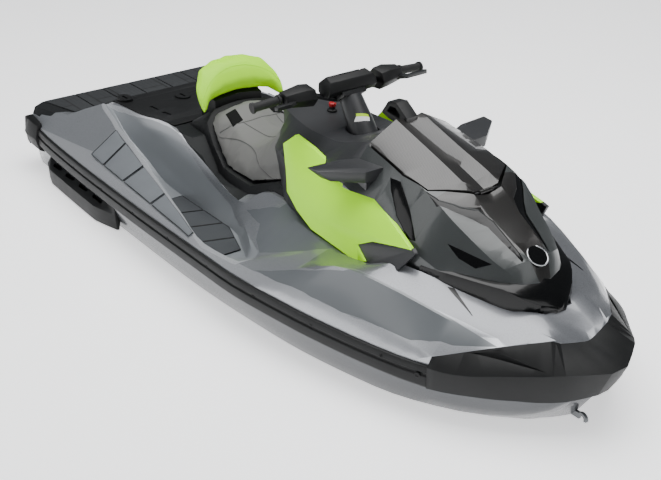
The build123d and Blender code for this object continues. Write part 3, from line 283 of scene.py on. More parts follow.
# ---- Rub rail, bow bumper, corner bumpers and sponsons ----------------------------------
# Tough polyethylene and rubber mouldings with a fine spark-eroded grain, screwed on over the
# joint between hull and deck.
RAIL_BLACK = "0B0C0C"
RAIL_WORN = "111213"
grained_black, tree = new_material("grained_polypropylene")
place = add_node(tree, "ShaderNodeTexCoord")
grain = add_node(tree, "ShaderNodeTexNoise", {"Scale": 700.0, "Detail": 3.0},
                 {"Vector": (place, "Object")})
scuff = add_node(tree, "ShaderNodeTexNoise", {"Scale": 9.0, "Detail": 6.0, "Roughness": 0.7},
                 {"Vector": (place, "Object")})
shade = add_node(tree, "ShaderNodeMix", {6: linear(RAIL_BLACK), 7: linear(RAIL_WORN)},
                 {0: (scuff, "Fac")}, data_type="RGBA")
matt = add_node(tree, "ShaderNodeMapRange", {"To Min": 0.46, "To Max": 0.62}, {"Value": (scuff, "Fac")})
pits = add_node(tree, "ShaderNodeBump", {"Strength": 0.25, "Distance": 0.0004},
                {"Height": (grain, "Fac")})
skin = add_node(tree, "ShaderNodeBsdfPrincipled", {"IOR": 1.49, "Specular IOR Level": 0.3},
                {"Base Color": (shade, 2), "Roughness": (matt, "Result"), "Normal": (pits, "Normal")})
add_node(tree, "ShaderNodeOutputMaterial", None, {"Surface": (skin, "BSDF")})
moulding("rub_rails", "craft", grained_black)
moulding("bow_bumper", "craft", grained_black, crease=24.0)
for node in ("stern_bumpers", "sponsons"):
    moulding(node, "craft", grained_black)

# ---- Rail screws and bumper plugs --------------------------------------------------------
# Domed screws every 300 mm along the groove of the rub rail, capped in the rail's own plastic,
# and a rubber plug over the bolt at each forward end.
STEEL = "C4C6C8"
bright_steel, tree = new_material("brushed_stainless_steel")
place = add_node(tree, "ShaderNodeTexCoord")
stretch = add_node(tree, "ShaderNodeMapping", {"Scale": (30.0, 900.0, 900.0)},
                   {"Vector": (place, "Object")})
brush = add_node(tree, "ShaderNodeTexNoise", {"Scale": 1.0, "Detail": 3.0},
                 {"Vector": (stretch, "Vector")})
gleam = add_node(tree, "ShaderNodeMapRange", {"To Min": 0.16, "To Max": 0.34}, {"Value": (brush, "Fac")})
scratch = add_node(tree, "ShaderNodeBump", {"Strength": 0.1, "Distance": 0.0002},
                   {"Height": (brush, "Fac")})
skin = add_node(tree, "ShaderNodeBsdfPrincipled", {"Base Color": linear(STEEL), "Metallic": 1.0},
                {"Roughness": (gleam, "Result"), "Normal": (scratch, "Normal")})
add_node(tree, "ShaderNodeOutputMaterial", None, {"Surface": (skin, "BSDF")})


SHARP = 35.0


def new_piece(name, verts, faces, body, slot, material):
    """A piece from plain mesh data, its faces turned outwards and shaded smooth between sharp edges."""
    mesh = bpy.data.meshes.new(name)
    mesh.from_pydata(verts, [], faces)
    shape = bmesh.new()
    shape.from_mesh(mesh)
    bmesh.ops.recalc_face_normals(shape, faces=shape.faces)
    shape.to_mesh(mesh)
    shape.free()
    mesh.shade_smooth()
    mesh.set_sharp_from_angle(angle=math.radians(SHARP))
    mesh.materials.append(material)
    piece = bpy.data.objects.new(name, mesh)
    scene.collection.objects.link(piece)
    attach(piece, body)
    return piece


def lathe(profile, sides=18):
    """A turned body about Z from (radius, height) points that start and end on the axis."""
    turns = [2 * math.pi * i / sides for i in range(sides)]
    verts = [(r * math.cos(t), r * math.sin(t), h) for r, h in profile[1:-1] for t in turns]
    verts += [(0, 0, profile[0][1]), (0, 0, profile[-1][1])]
    top = (len(profile) - 3) * sides
    foot, tip = len(verts) - 2, len(verts) - 1
    pairs = [(i, (i + 1) % sides) for i in range(sides)]
    faces = [(k + i, k + j, k + sides + j, k + sides + i) for k in range(0, top, sides) for i, j in pairs]
    faces += [(foot, j, i) for i, j in pairs]
    faces += [(tip, top + i, top + j) for i, j in pairs]
    return verts, faces


def scattered(name, profile, spots, body, slot, material, sides=18):
    """A turned body repeated at spots (place, facing), each turned at random about its own axis."""
    one = new_piece(name + "_one", *lathe(profile, sides), body, slot, material)
    seeds = bpy.data.meshes.new(name)
    seeds.from_pydata([place for place, _ in spots], [], [])
    facing = seeds.attributes.new("facing", "FLOAT_VECTOR", "POINT")
    for item, (_, out) in zip(facing.data, spots):
        item.vector = out
    group = bpy.data.node_groups.new(name + "_pattern", "GeometryNodeTree")
    sockets = {}
    for label, kind in (("Geometry", "Geometry"), ("One", "Object"), ("Size", "Float"), ("Seed", "Int"),
                        ("Finish", "Material")):
        sockets[label] = group.interface.new_socket(label, in_out="INPUT", socket_type="NodeSocket" + kind)
    group.interface.new_socket("Geometry", in_out="OUTPUT", socket_type="NodeSocketGeometry")
    entry = add_node(group, "NodeGroupInput")
    shown = add_node(group, "GeometryNodeObjectInfo", None, {"Object": (entry, "One")})
    out = add_node(group, "GeometryNodeInputNamedAttribute", {"Name": "facing"},
                   data_type="FLOAT_VECTOR")
    aim = add_node(group, "FunctionNodeAlignRotationToVector", None, {"Vector": (out, "Attribute")},
                   axis="Z")
    spin = add_node(group, "FunctionNodeRandomValue", {0: (0, 0, 0), 1: (0, 0, 2 * math.pi)},
                    {"Seed": (entry, "Seed")}, data_type="FLOAT_VECTOR")
    turn = add_node(group, "FunctionNodeRotateRotation", None,
                    {"Rotation": (aim, "Rotation"), "Rotate By": (spin, "Value")}, rotation_space="LOCAL")
    copies = add_node(group, "GeometryNodeInstanceOnPoints", None,
                      {"Points": (entry, "Geometry"), "Instance": (shown, "Geometry"),
                       "Rotation": (turn, "Rotation"), "Scale": (entry, "Size")})
    real = add_node(group, "GeometryNodeRealizeInstances", None, {"Geometry": (copies, "Instances")})
    coat = add_node(group, "GeometryNodeSetMaterial", None,
                    {"Geometry": (real, "Geometry"), "Material": (entry, "Finish")})
    add_node(group, "NodeGroupOutput", None, {"Geometry": (coat, "Geometry")})
    piece = bpy.data.objects.new(name, seeds)
    scene.collection.objects.link(piece)
    pattern = piece.modifiers.new("pattern", "NODES")
    pattern.node_group = group
    for label, value in (("One", one), ("Size", 1.0), ("Seed", 7), ("Finish", material)):
        pattern[sockets[label].identifier] = value
    copied = applied(piece)
    copied.shade_smooth()
    copied.set_sharp_from_angle(angle=math.radians(SHARP))
    bpy.data.objects.remove(one)
    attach(piece, body)


def probe(mesh):
    """A search tree over a mesh's faces."""
    return BVHTree.FromPolygons([v.co for v in mesh.vertices], [p.vertices for p in mesh.polygons])


def landed(tree, start, way):
    """Where a ray lands and which way the surface faces there."""
    spot, normal, _, _ = tree.ray_cast(Vector(start), Vector(way))
    return spot, normal if normal.dot(Vector(way)) < 0 else -normal


RAIL_GROOVE = 0.1995
SCREW_STEP = 0.30
DOME = (
    (0, -0.001), (0.0062, -0.001), (0.0062, 0.0008), (0.0048, 0.0024), (0.0026, 0.0031),
    (0.0022, 0.0012), (0, 0.0012))
PLUG = (
    (0, -0.002), (0.0105, -0.002), (0.0105, 0.0015), (0.0088, 0.0028), (0.0058, 0.0028),
    (0.0045, 0.0006), (0, 0.0006))
rail_tree = probe(cad_mesh("rub_rails"))
screws = [landed(rail_tree, (0.30 + SCREW_STEP * i, side, RAIL_GROOVE), (0, -side, 0))
          for side in (1, -1) for i in range(9)]
plugs = [landed(rail_tree, (2.834, side, 0.176), (0, -side, 0)) for side in (1, -1)]
scattered("rail_screws", DOME, screws, "craft", "black_trim", grained_black)
scattered("rail_plugs", PLUG, plugs, "craft", "black_trim", grained_black)

# ---- Jet drive -------------------------------------------------------------------------
# Cast aluminium pump, nozzle and ride plate, bead blasted and painted clear; the impeller is
# polished stainless steel and the ring and bucket are powder coated.
def refinish(material, *nodes):
    """Gives CAD nodes that stay a material of their own."""
    for node in nodes:
        cad_mesh(node).materials.clear()
        cad_mesh(node).materials.append(material)


cast_alloy = clouded("bead_blasted_cast_aluminium", "8E9092", "77797B", (14.0, 5.0),
                     {"Metallic": 1.0, "Roughness": 0.45}, grain=(0.3, 0.0003, 900.0, 2.0))
refinish(cast_alloy, "jet_pump_housing", "steering_nozzle", "ride_plate", "intake_grate", "bow_eye")
refinish(bright_steel, "impeller", "bucket_pins", "stern_tow_eyes")
powder_coat = clouded("black_powder_coat", "0C0D0E", "141517", (420.0, 2.0),
                      {"Roughness": 0.38, "Coat Weight": 0.2}, grain=(0.12, 0.0003, 420.0, 2.0))
refinish(powder_coat, "trim_ring", "reverse_bucket", "steering_bearing", "lid_hinge", "handlebar")
refinish(clouded("engine_enamel", "3A3C3E", "2C2D2F", (25.0, 5.0), {"Roughness": 0.5}), "engine_block")

# ---- Stern fasteners ---------------------------------------------------------------------
# Hexagon-socket bolts through the pump flange, the ride plate and the tow eyes, and two
# screwed drain plugs low on the transom.
CAP = (
    (0, -0.001), (0.008, -0.001), (0.008, 0.006), (0.0072, 0.0068), (0.004, 0.0068), (0.0038, 0.003),
    (0, 0.003))
AFT, DOWN = (-1, 0, 0), (0, 0, -1)
bolts = [((0.4135, y, z), AFT) for y in (-0.11, 0.11) for z in (-0.23, -0.15, -0.07)]
bolts += [((-0.0063, side * (0.38 + y), 0.06 + z), AFT)
          for side in (-1, 1) for y in (-0.021, 0.021) for z in (-0.026, 0.026)]
bolts += [((x, y, -0.263), DOWN) for y in (-0.095, 0.095) for x in (0.16, 0.28, 0.40)]
scattered("stern_bolts", CAP, bolts, "craft", "bright_metal", bright_steel)
DRAIN = (
    (0, -0.002), (0.021, -0.002), (0.021, 0.005), (0.018, 0.008), (0.012, 0.008), (0.012, 0.014),
    (0.01, 0.016), (0, 0.016))
drains = [((0, y, -0.06), AFT) for y in (-0.24, 0.24)]
scattered("drain_plugs", DRAIN, drains, "craft", "black_trim", powder_coat, sides=28)

# ---- Deck ------------------------------------------------------------------------------
# The upper moulding, in the same silver gel coat as the hull, bonded to it under the rail.
# Footwells and hollows are masked off and sprayed slate, the stern and seat slopes charcoal.
def read_line(x, rows, column):
    """Straight-line reading of a table's column at x."""
    for near, far in zip(rows, rows[1:]):
        if near[0] <= x <= far[0]:
            return near[column] + (far[column] - near[column]) * (x - near[0]) / (far[0] - near[0])
    return None


def table_curve(tree, x, rows, column):
    """Reads a column of a table at x, with straight runs between its rows."""
    first, last = rows[0][0], rows[-1][0]
    share = add_node(tree, "ShaderNodeMapRange", {"From Min": first, "From Max": last}, {"Value": x})
    bend = add_node(tree, "ShaderNodeFloatCurve", None, {"Value": (share, "Result")})
    line = bend.mapping.curves[0]
    for row in rows[1:-1]:
        line.points.new((row[0] - first) / (last - first), row[column])
    for point, row in zip(line.points, rows):
        point.location = ((row[0] - first) / (last - first), row[column])
        point.handle_type = "VECTOR"
    bend.mapping.update()
    return bend, "Value"


def sprayed_area(tree, breadths, heights=None):
    """An output that is 1 inside an area, from tables of (x, inner, outer half breadth) and of
    (x, bottom, top)."""
    place = add_node(tree, "ShaderNodeTexCoord")
    parts = add_node(tree, "ShaderNodeSeparateXYZ", None, {"Vector": (place, "Object")})
    side = add_node(tree, "ShaderNodeMath", None, {0: (parts, "Y")}, operation="ABSOLUTE")
    inside = None
    for value, rows in (((side, "Value"), breadths), ((parts, "Z"), heights)):
        for column, way in ((1, "GREATER_THAN"), (2, "LESS_THAN")) if rows else ():
            limit = table_curve(tree, (parts, "X"), rows, column)
            passed = add_node(tree, "ShaderNodeMath", None, {0: value, 1: limit}, operation=way)
            if inside:
                passed = add_node(tree, "ShaderNodeMath", None, {0: inside, 1: (passed, "Value")},
                                  operation="MULTIPLY")
            inside = passed, "Value"
    return inside


def closed(rows):
    """A table of limits with an empty row before its first and after its last."""
    (first, low, _), (last, high, _) = rows[0], rows[-1]
    return [(first - 0.01, low, low), *rows, (last + 0.01, high, high)]


def satin_coat(tree, light, dark, tones=(), rough=0.34, coat=0.5, gleam=0.5):
    """A satin two-pack paint's shader, with other tones of it inside areas, which on the deck are painted
    light and painted shade.
    """
    place = add_node(tree, "ShaderNodeTexCoord")
    cloud = add_node(tree, "ShaderNodeTexNoise", {"Scale": 3.0, "Detail": 4.0},
                     {"Vector": (place, "Object")})
    dimple = add_node(tree, "ShaderNodeTexNoise", {"Scale": 450.0, "Detail": 2.0},
                      {"Vector": (place, "Object")})
    shade = add_node(tree, "ShaderNodeMix", {6: linear(light), 7: linear(dark)}, {0: (cloud, "Fac")},
                     data_type="RGBA")
    ripple = add_node(tree, "ShaderNodeBump", {"Strength": 0.12, "Distance": 0.0003},
                      {"Height": (dimple, "Fac")})
    return add_node(tree, "ShaderNodeBsdfPrincipled",
                    {"Metallic": coat / 2, "Roughness": rough, "Specular IOR Level": gleam,
                     "Coat Weight": coat, "Coat Roughness": 0.12},
                    {"Base Color": toned(tree, (shade, 2), *tones), "Normal": (ripple, "Normal")})


FOOTWELL = (
    (0.395, 0.32, 0.32), (0.433, 0.322, 0.334), (0.581, 0.306, 0.366), (0.68, 0.301, 0.393),
    (0.743, 0.298, 0.404), (0.828, 0.295, 0.419), (0.979, 0.292, 0.439), (1.059, 0.292, 0.45),
    (1.156, 0.27, 0.47), (1.26, 0.24, 0.495), (1.467, 0.24, 0.539), (1.489, 0.306, 0.542),
    (1.673, 0.367, 0.57), (1.72, 0.386, 0.577), (1.904, 0.462, 0.565), (1.94, 0.474, 0.562),
    (1.97, 0.52, 0.52))
FOOTWELL_RISE = (
    (0.9, 0, 0.6), (1.02, 0, 0.43), (1.059, 0, 0.413), (1.156, 0, 0.371), (1.281, 0, 0.316),
    (1.364, 0, 0.284), (1.456, 0, 0.251), (1.489, 0, 0.237), (1.5, 0, 0.6), (2, 0, 0.6))
HOLLOW = (
    (1.61, 0.31, 0.31), (1.7, 0.309, 0.338), (1.784, 0.299, 0.362), (1.823, 0.294, 0.4),
    (1.85, 0.2, 0.424), (1.95, 0.1, 0.475), (2.058, 0.1, 0.449), (2.169, 0.1, 0.412),
    (2.243, 0.1, 0.363), (2.33, 0.1, 0.1))
SEAT_SLOPE = (
    (0.93, 0, 0), (0.945, 0, 0.262), (1.05, 0, 0.285), (1.12, 0, 0.2935), (1.26, 0, 0.2975),
    (1.53, 0, 0.2975), (1.55, 0, 0))
GUNWALE_FACET = (
    (2.045, 0.557, 0.557), (2.145, 0.528, 0.559), (2.19, 0.519, 0.558), (2.308, 0.496, 0.541),
    (2.36, 0.479, 0.533), (2.443, 0.451, 0.515), (2.498, 0.421, 0.504), (2.606, 0.399, 0.474),
    (2.701, 0.369, 0.447), (2.775, 0.347, 0.426), (2.898, 0.306, 0.354), (2.961, 0.281, 0.303),
    (3.01, 0.262, 0.262))
# Along the gunwale the silver takes a lighter tone, as a painted highlight.
GUNWALE_PAINTED_HIGHLIGHT = (
    (0.05, 0.56, 0.66), (0.9, 0.52, 0.66), (1.26, 0.52, 0.66), (1.489, 0.545, 0.66), (1.72, 0.58, 0.66),
    (1.904, 0.57, 0.66), (2.026, 0.564, 0.66), (2.137, 0.555, 0.66), (2.254, 0.549, 0.66),
    (2.41, 0.523, 0.66), (2.561, 0.489, 0.66), (2.733, 0.434, 0.66), (2.836, 0.393, 0.66),
    (2.994, 0.247, 0.66))
# Over the foredeck the silver takes a darker tone, as painted shade.
FOREDECK_PAINTED_SHADE = (
    (2.24, 0, 0), (2.25, 0, 0.5), (2.325, 0, 0.489), (2.49, 0, 0.42), (2.632, 0, 0.395),
    (2.761, 0, 0.354), (2.836, 0, 0.32), (2.994, 0, 0.247), (3.25, 0, 0.2))
STERN_DECK = (
    (-0.06, 0, 0.56), (0.03, 0, 0.56), (0.075, 0, 0.512), (0.15, 0, 0.495), (0.204, 0, 0.435),
    (0.24, 0, 0.405), (0.41, 0, 0.322), (0.42, 0, 0.28), (0.94, 0, 0.24), (0.95, 0, 0))
STERN_RISE = ((-0.06, 0.265, 0.6), (0.96, 0.265, 0.6))
RIDGE_HIGHLIGHT_WIDTH = 0.018
deck_paint, tree = new_material("masked_gel_coat_and_satin_paint")
# The slate footwell, which also takes a lighter tone of the slate as painted light against its shade.
footwell_slate_and_painted_light = sprayed_area(tree, FOOTWELL, FOOTWELL_RISE)
# The slate gunwale facet, which also takes a darker tone of the slate as painted shade.
facet_slate_and_painted_shade = sprayed_area(tree, GUNWALE_FACET)
hollows = add_node(tree, "ShaderNodeMath", None, {0: footwell_slate_and_painted_light, 1: sprayed_area(tree, HOLLOW)},
                   operation="MAXIMUM")
slated = add_node(tree, "ShaderNodeMath", None, {0: (hollows, "Value"), 1: facet_slate_and_painted_shade}, operation="MAXIMUM")
stern = sprayed_area(tree, STERN_DECK, STERN_RISE)
slope = add_node(tree, "ShaderNodeMath", None, {0: sprayed_area(tree, SEAT_SLOPE), 1: stern},
                 operation="MAXIMUM")
# A painted highlight of bright silver runs along both edges of the slate footwell, where its thin ridges
# catch the light.
outer_ridge_highlight = closed([(x, outer, outer + RIDGE_HIGHLIGHT_WIDTH) for x, _, outer in FOOTWELL])
inner_ridge_highlight = closed([(x, inner - RIDGE_HIGHLIGHT_WIDTH, inner) for x, inner, _ in FOOTWELL if x < 1.2])
# Over the silver: painted shade on the foredeck, painted highlights along the gunwale and the footwell's
# edges.
silver = flaked_coat(tree, tones=[(sprayed_area(tree, rows), code) for rows, code in (
    (FOREDECK_PAINTED_SHADE, "76787C"), (GUNWALE_PAINTED_HIGHLIGHT, "ACAEB2"), (outer_ridge_highlight, "C2C4C8"), (inner_ridge_highlight, "C2C4C8"))])
# Over the slate: painted light in the footwell, painted shade on the gunwale facet.
slate = satin_coat(tree, "6A6E72", "606468", tones=((footwell_slate_and_painted_light, "8E9296"), (facet_slate_and_painted_shade, "64686B")))
charcoal = satin_coat(tree, "1E2021", "1A1B1C", rough=0.6, coat=0.0, gleam=0.2)
two_tone = add_node(tree, "ShaderNodeMixShader", None,
                    {0: (slated, "Value"), 1: (silver, "BSDF"), 2: (slate, "BSDF")})
three_tone = add_node(tree, "ShaderNodeMixShader", None,
                      {0: (slope, "Value"), 1: (two_tone, "Shader"), 2: (charcoal, "BSDF")})
add_node(tree, "ShaderNodeOutputMaterial", None, {"Surface": (three_tone, "Shader")})
# Under the bow bumper the deck's flange is joggled down, so that it lies below the bumper's
# top face: (x, half breadth) of the bumper's inner edge, in metres.
BUMPER_EDGE = (
    (2.864, 0.411), (2.91, 0.366), (2.968, 0.308), (3.023, 0.251), (3.076, 0.195), (3.126, 0.1425),
    (3.137, 0.108), (3.158, 0.016), (3.16, 0))
JOGGLE = 0.012


def joggled(shape):
    """Cuts the deck's mesh along the bumper's inner edge and lowers what lies outside it."""
    for side in (1, -1):
        for near, far in zip(BUMPER_EDGE, BUMPER_EDGE[1:]):
            run = Vector((far[0] - near[0], side * (far[1] - near[1]), 0))
            middles = [(face, face.calc_center_median()) for face in shape.faces]
            faces = [face for face, at in middles
                     if near[0] - 0.05 < at.x < far[0] + 0.05 and at.y * side > -0.02]
            parts = list({part for face in faces for part in (*face.verts, *face.edges)}) + faces
            bmesh.ops.bisect_plane(shape, geom=parts, dist=1e-5, plane_co=(near[0], side * near[1], 0),
                                   plane_no=(run.y, -run.x, 0))
    aft, fore = BUMPER_EDGE[0][0], BUMPER_EDGE[-1][0]
    for corner in shape.verts:
        x, y, z = corner.co
        if x > aft and z > 0.2 and abs(y) > read_line(min(x, fore), BUMPER_EDGE, 1) + 0.0004:
            corner.co.z -= JOGGLE


moulding("deck_shell", "craft", deck_paint, crease=14.0, edge=0, shaping=joggled)

# ---- Traction mats and pads --------------------------------------------------------------
# Closed-cell foam sheet, cut on a router and glued down: fine brushed tooth, in clouds of two
# tones.
def foam(name, light, dark):
    """Brushed closed-cell foam sheet."""
    return clouded(name, light, dark, (11.0, 4.0), {"Roughness": 0.85, "IOR": 1.45},
                   grain=(0.35, 0.0006, 260.0, 4.0))


pad_foam = foam("grey_traction_foam", "6A6E72", "5D6165")
floor_foam = foam("slate_traction_foam", "3E4144", "34373A")
moulding("haunch_pads", "craft", pad_foam, edge=0.0012)
moulding("footwell_mats", "craft", floor_foam, edge=0.0012)
moulding("accessory_bases", "craft", grained_black, edge=0.0015)

# ---- Pad borders -------------------------------------------------------------------------
# Each pad of the haunches and the footwells has a heat-pressed black border, 3 mm wide, round
# its upper face.
def rims(node, rise):
    """Closed runs of points round the upper faces of a CAD node, whose normals rise that much."""
    shape = welded(cad_mesh(node))
    nexts = {}
    for side in shape.edges:
        upper = [face for face in side.link_faces if face.normal.z > rise]
        if len(upper) == 1:
            for loop in upper[0].loops:
                if loop.edge == side:
                    nexts[loop.vert.index] = (loop.vert.co.copy(), loop.link_loop_next.vert.index)
    shape.free()
    runs = []
    while nexts:
        at, run = next(iter(nexts)), []
        while at in nexts:
            spot, following = nexts.pop(at)
            run.append(spot)
            at = following
        runs.append(run + run[:1])
    return runs


def beads(name, runs, radius, body, slot, material, sides=8):
    """Round beads along runs of points, as one piece."""
    verts, faces = [], []
    pairs = [(k, (k + 1) % sides) for k in range(sides)]
    turns = [2 * math.pi * k / sides for k in range(sides)]
    for run in runs:
        run = [Vector(spot) for spot in run]
        base, across = len(verts), (run[1] - run[0]).orthogonal()
        for i, spot in enumerate(run):
            ahead = (run[min(i + 1, len(run) - 1)] - run[max(i - 1, 0)]).normalized()
            across = (across - ahead * across.dot(ahead)).normalized()
            other = ahead.cross(across)
            verts += [spot + radius * (math.cos(t) * across + math.sin(t) * other) for t in turns]
        for i in range(len(run) - 1):
            ring = base + i * sides
            faces += [(ring + k, ring + j, ring + sides + j, ring + sides + k) for k, j in pairs]
        faces += [tuple(base + k for k in range(sides)), tuple(len(verts) - 1 - k for k in range(sides))]
    new_piece(name, verts, faces, body, slot, material)


pad_rims = rims("haunch_pads", 0.3) + rims("footwell_mats", 0.9)
beads("pad_borders", pad_rims, 0.0018, "craft", "black_trim", grained_black)

# ---- Stern platform mat and rear deck cover -----------------------------------------------
# The same foam in charcoal, routed with fine tread grooves and parted into large tiles; ahead
# of it a satin black cover moulded in one piece, with the accessory sockets through it.
charcoal_foam, tree = new_material("charcoal_traction_foam")
place = add_node(tree, "ShaderNodeTexCoord")
tooth = add_node(tree, "ShaderNodeTexNoise", {"Scale": 260.0, "Detail": 4.0},
                 {"Vector": (place, "Object")})
tiles = add_node(tree, "ShaderNodeTexBrick",
                 {"Scale": 1.0, "Brick Width": 0.30, "Row Height": 0.125, "Mortar Size": 0.003,
                  "Color1": linear("2A2C2E"), "Color2": linear("252729"), "Mortar": linear("060607")},
                 {"Vector": (place, "Object")})
tread = add_node(tree, "ShaderNodeTexWave", {"Scale": 14.0}, {"Vector": (place, "Object")},
                 bands_direction="Y")
relief = add_node(tree, "ShaderNodeMix", {0: 0.3}, {2: (tread, "Fac"), 3: (tooth, "Fac")})
depth = add_node(tree, "ShaderNodeMix", {3: 0.0}, {0: (tiles, "Fac"), 2: (relief, 0)})
nap = add_node(tree, "ShaderNodeBump", {"Strength": 0.5, "Distance": 0.001}, {"Height": (depth, 0)})
skin = add_node(tree, "ShaderNodeBsdfPrincipled", {"Roughness": 0.8, "IOR": 1.45},
                {"Base Color": (tiles, "Color"), "Normal": (nap, "Normal")})
add_node(tree, "ShaderNodeOutputMaterial", None, {"Surface": (skin, "BSDF")})
moulding("platform_mat", "craft", charcoal_foam, edge=0.0012)
moulding("rear_deck_panel", "craft", grained_black, edge=0.0015)

# ---- Seat ------------------------------------------------------------------------------
# A foam pad on a moulded base, covered in marine vinyl sewn from panels: grey on top, dark at
# the flanks, with a lime bolster behind the rider.
FLANK = "1E1F20"
FLANK_PANEL = (
    (0.9, 0.15, 0.6), (1.049, 0.177, 0.6), (1.139, 0.196, 0.6), (1.188, 0.2, 0.6), (1.224, 0.206, 0.6),
    (1.244, 0.216, 0.6), (1.262, 0.6, 0.6))
PEBBLE = 0.0022


def vinyl(name, light, dark, gloss=0.55, panel=None, glow=0.0):
    """Marine vinyl: embossed leather grain over foam, with a satin face and, inside a table's area,
    a panel of dark vinyl. Glow is a painted glow in the vinyl's own colour."""
    material, tree = new_material(name)
    place = add_node(tree, "ShaderNodeTexCoord")
    pebble = add_node(tree, "ShaderNodeTexVoronoi", {"Scale": 1.0 / PEBBLE},
                      {"Vector": (place, "Object")}, feature="SMOOTH_F1")
    cast = add_node(tree, "ShaderNodeTexNoise", {"Scale": 6.0, "Detail": 3.0},
                    {"Vector": (place, "Object")})
    shade = add_node(tree, "ShaderNodeMix", {6: linear(light), 7: linear(dark)}, {0: (cast, "Fac")},
                     data_type="RGBA")
    tones = [(sprayed_area(tree, panel), FLANK)] if panel else []
    press = add_node(tree, "ShaderNodeBump", {"Strength": 0.22, "Distance": 0.0005},
                     {"Height": (pebble, "Distance")})
    skin = add_node(tree, "ShaderNodeBsdfPrincipled",
                    {"Roughness": gloss, "Specular IOR Level": 0.25, "Emission Color": linear(light),
                     "Emission Strength": glow},
                    {"Base Color": toned(tree, (shade, 2), *tones), "Normal": (press, "Normal")})
    add_node(tree, "ShaderNodeOutputMaterial", None, {"Surface": (skin, "BSDF")})
    return material


grey_vinyl = vinyl("grey_marine_vinyl", "6E6E6C", "646462", panel=FLANK_PANEL)
dark_vinyl = vinyl("dark_marine_vinyl", FLANK, "18191A")
# The lime vinyl has a faint emission in its own colour: a painted glow that keeps it bright.
lime_vinyl = vinyl("lime_marine_vinyl_painted_glow", "ACF400", "A2E600", gloss=0.5, glow=0.15)
seam_vinyl = vinyl("seam_marine_vinyl", "4C4C4B", "444443")

# The foam is drawn in by ROOM before the cover is inflated, and the cover may rise by SWELL.
ROOM = 0.006
SWELL = 0.012
STEPS = 20


def upholstered(node, material, voxel):
    """A padded piece grown from its CAD solid: remeshed, inflated as cloth and smoothed."""
    mesh = cad_mesh(node).copy()
    pad = bpy.data.objects.new(node + "_pad", mesh)
    scene.collection.objects.link(pad)
    shape = welded(mesh)
    shape.to_mesh(mesh)
    shape.free()
    if "custom_normal" in mesh.attributes:
        mesh.attributes.remove(mesh.attributes["custom_normal"])
    remesh = pad.modifiers.new("even_mesh", "REMESH")
    remesh.mode = "VOXEL"
    remesh.voxel_size = voxel
    relax = pad.modifiers.new("rounded_corners", "SMOOTH")
    relax.factor = 0.5
    relax.iterations = 14
    pull_in = pad.modifiers.new("room_to_swell", "DISPLACE")
    pull_in.strength = -ROOM
    pull_in.mid_level = 0.0
    even = applied(pad)
    start = [v.co.copy() for v in even.vertices]
    cloth = pad.modifiers.new("inflation", "CLOTH")
    cloth.settings.use_pressure = True
    cloth.settings.uniform_pressure_force = 4.0
    cloth.settings.effector_weights.gravity = 0.0
    cloth.settings.tension_stiffness = 25.0
    cloth.settings.compression_stiffness = 25.0
    cloth.point_cache.frame_start = 1
    cloth.point_cache.frame_end = STEPS
    for step in range(1, STEPS + 1):
        scene.frame_set(step)
    swollen = applied(pad)
    scene.frame_set(1)
    for vertex, origin in zip(swollen.vertices, start):
        move = vertex.co - origin
        if move.length > SWELL:
            vertex.co = origin + move.normalized() * SWELL
    settle = pad.modifiers.new("settled_cover", "SMOOTH")
    settle.factor = 0.5
    settle.iterations = 12
    divide = pad.modifiers.new("fine_surface", "SUBSURF")
    divide.levels = divide.render_levels = 1
    fine = applied(pad)
    fine.shade_smooth()
    fine.materials.clear()
    fine.materials.append(material)
    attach(pad, "craft")
    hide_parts(node)
    return pad


saddle = upholstered("seat_cushion", grey_vinyl, 0.007)
bolster = upholstered("backrest_bolster", lime_vinyl, 0.006)
moulding("seat_base", "craft", dark_vinyl, edge=0.004)
moulding("bolster_mount", "craft", grained_black)

# ---- Seat seams, stitches and mesh inserts ---------------------------------------------------
# The cover's panels meet in piped seams with a row of 4 mm lockstitches beside them; a black
# breathable mesh panel is let in on each side below the bolster.
def eased(knots, rounds=2):
    """Knots with their corners cut, so that a line through them bends evenly."""
    knots = [Vector(knot) for knot in knots]
    for _ in range(rounds):
        cut = [corner for a, b in zip(knots, knots[1:]) for corner in (a.lerp(b, 0.25), a.lerp(b, 0.75))]
        knots = [knots[0], *cut, knots[-1]]
    return knots


def laid(tree, knots, step=0.008, lift=0.0002):
    """(place, outward direction) every step along knots laid onto a surface and lifted off it."""
    spots = []
    for a, b in zip(knots, knots[1:]):
        count = max(1, round((b - a).length / step))
        for i in range(count):
            spot, normal, _, _ = tree.find_nearest(a.lerp(b, i / count))
            spots.append((spot + lift * normal, normal))
    for _ in range(3):
        middles = [((a[0] + 2 * b[0] + c[0]) / 4, b[1]) for a, b, c in zip(spots, spots[1:], spots[2:])]
        spots = [spots[0], *middles, spots[-1]]
    return spots


def flipped(knots):
    """The same points on the starboard side."""
    return [(x, -y, z) for x, y, z in knots]


SIDE_SEAM = (
    (1.205, 0.193, 0.44), (1.314, 0.15, 0.455), (1.432, 0.147, 0.448), (1.56, 0.203, 0.406),
    (1.668, 0.214, 0.4))
BACK_SEAM = (
    (1.2, 0.19, 0.455), (1.222, 0.155, 0.478), (1.245, 0.1, 0.492), (1.262, 0.03, 0.5),
    (1.262, -0.03, 0.5), (1.245, -0.1, 0.492), (1.222, -0.155, 0.478), (1.2, -0.19, 0.455))
TOP_SEAM = ((1.245, 0.085, 0.495), (1.33, 0.07, 0.485), (1.45, 0.066, 0.49), (1.54, 0.058, 0.59))
BOLSTER_SEAM = (
    (1.12, -0.205, 0.585), (1.085, -0.15, 0.64), (1.06, -0.07, 0.672), (1.055, 0, 0.68),
    (1.06, 0.07, 0.672), (1.085, 0.15, 0.64), (1.12, 0.205, 0.585))
saddle_tree = probe(saddle.data)
saddle_seams = [laid(saddle_tree, eased(knots))
                for knots in (SIDE_SEAM, flipped(SIDE_SEAM), BACK_SEAM, TOP_SEAM, flipped(TOP_SEAM))]
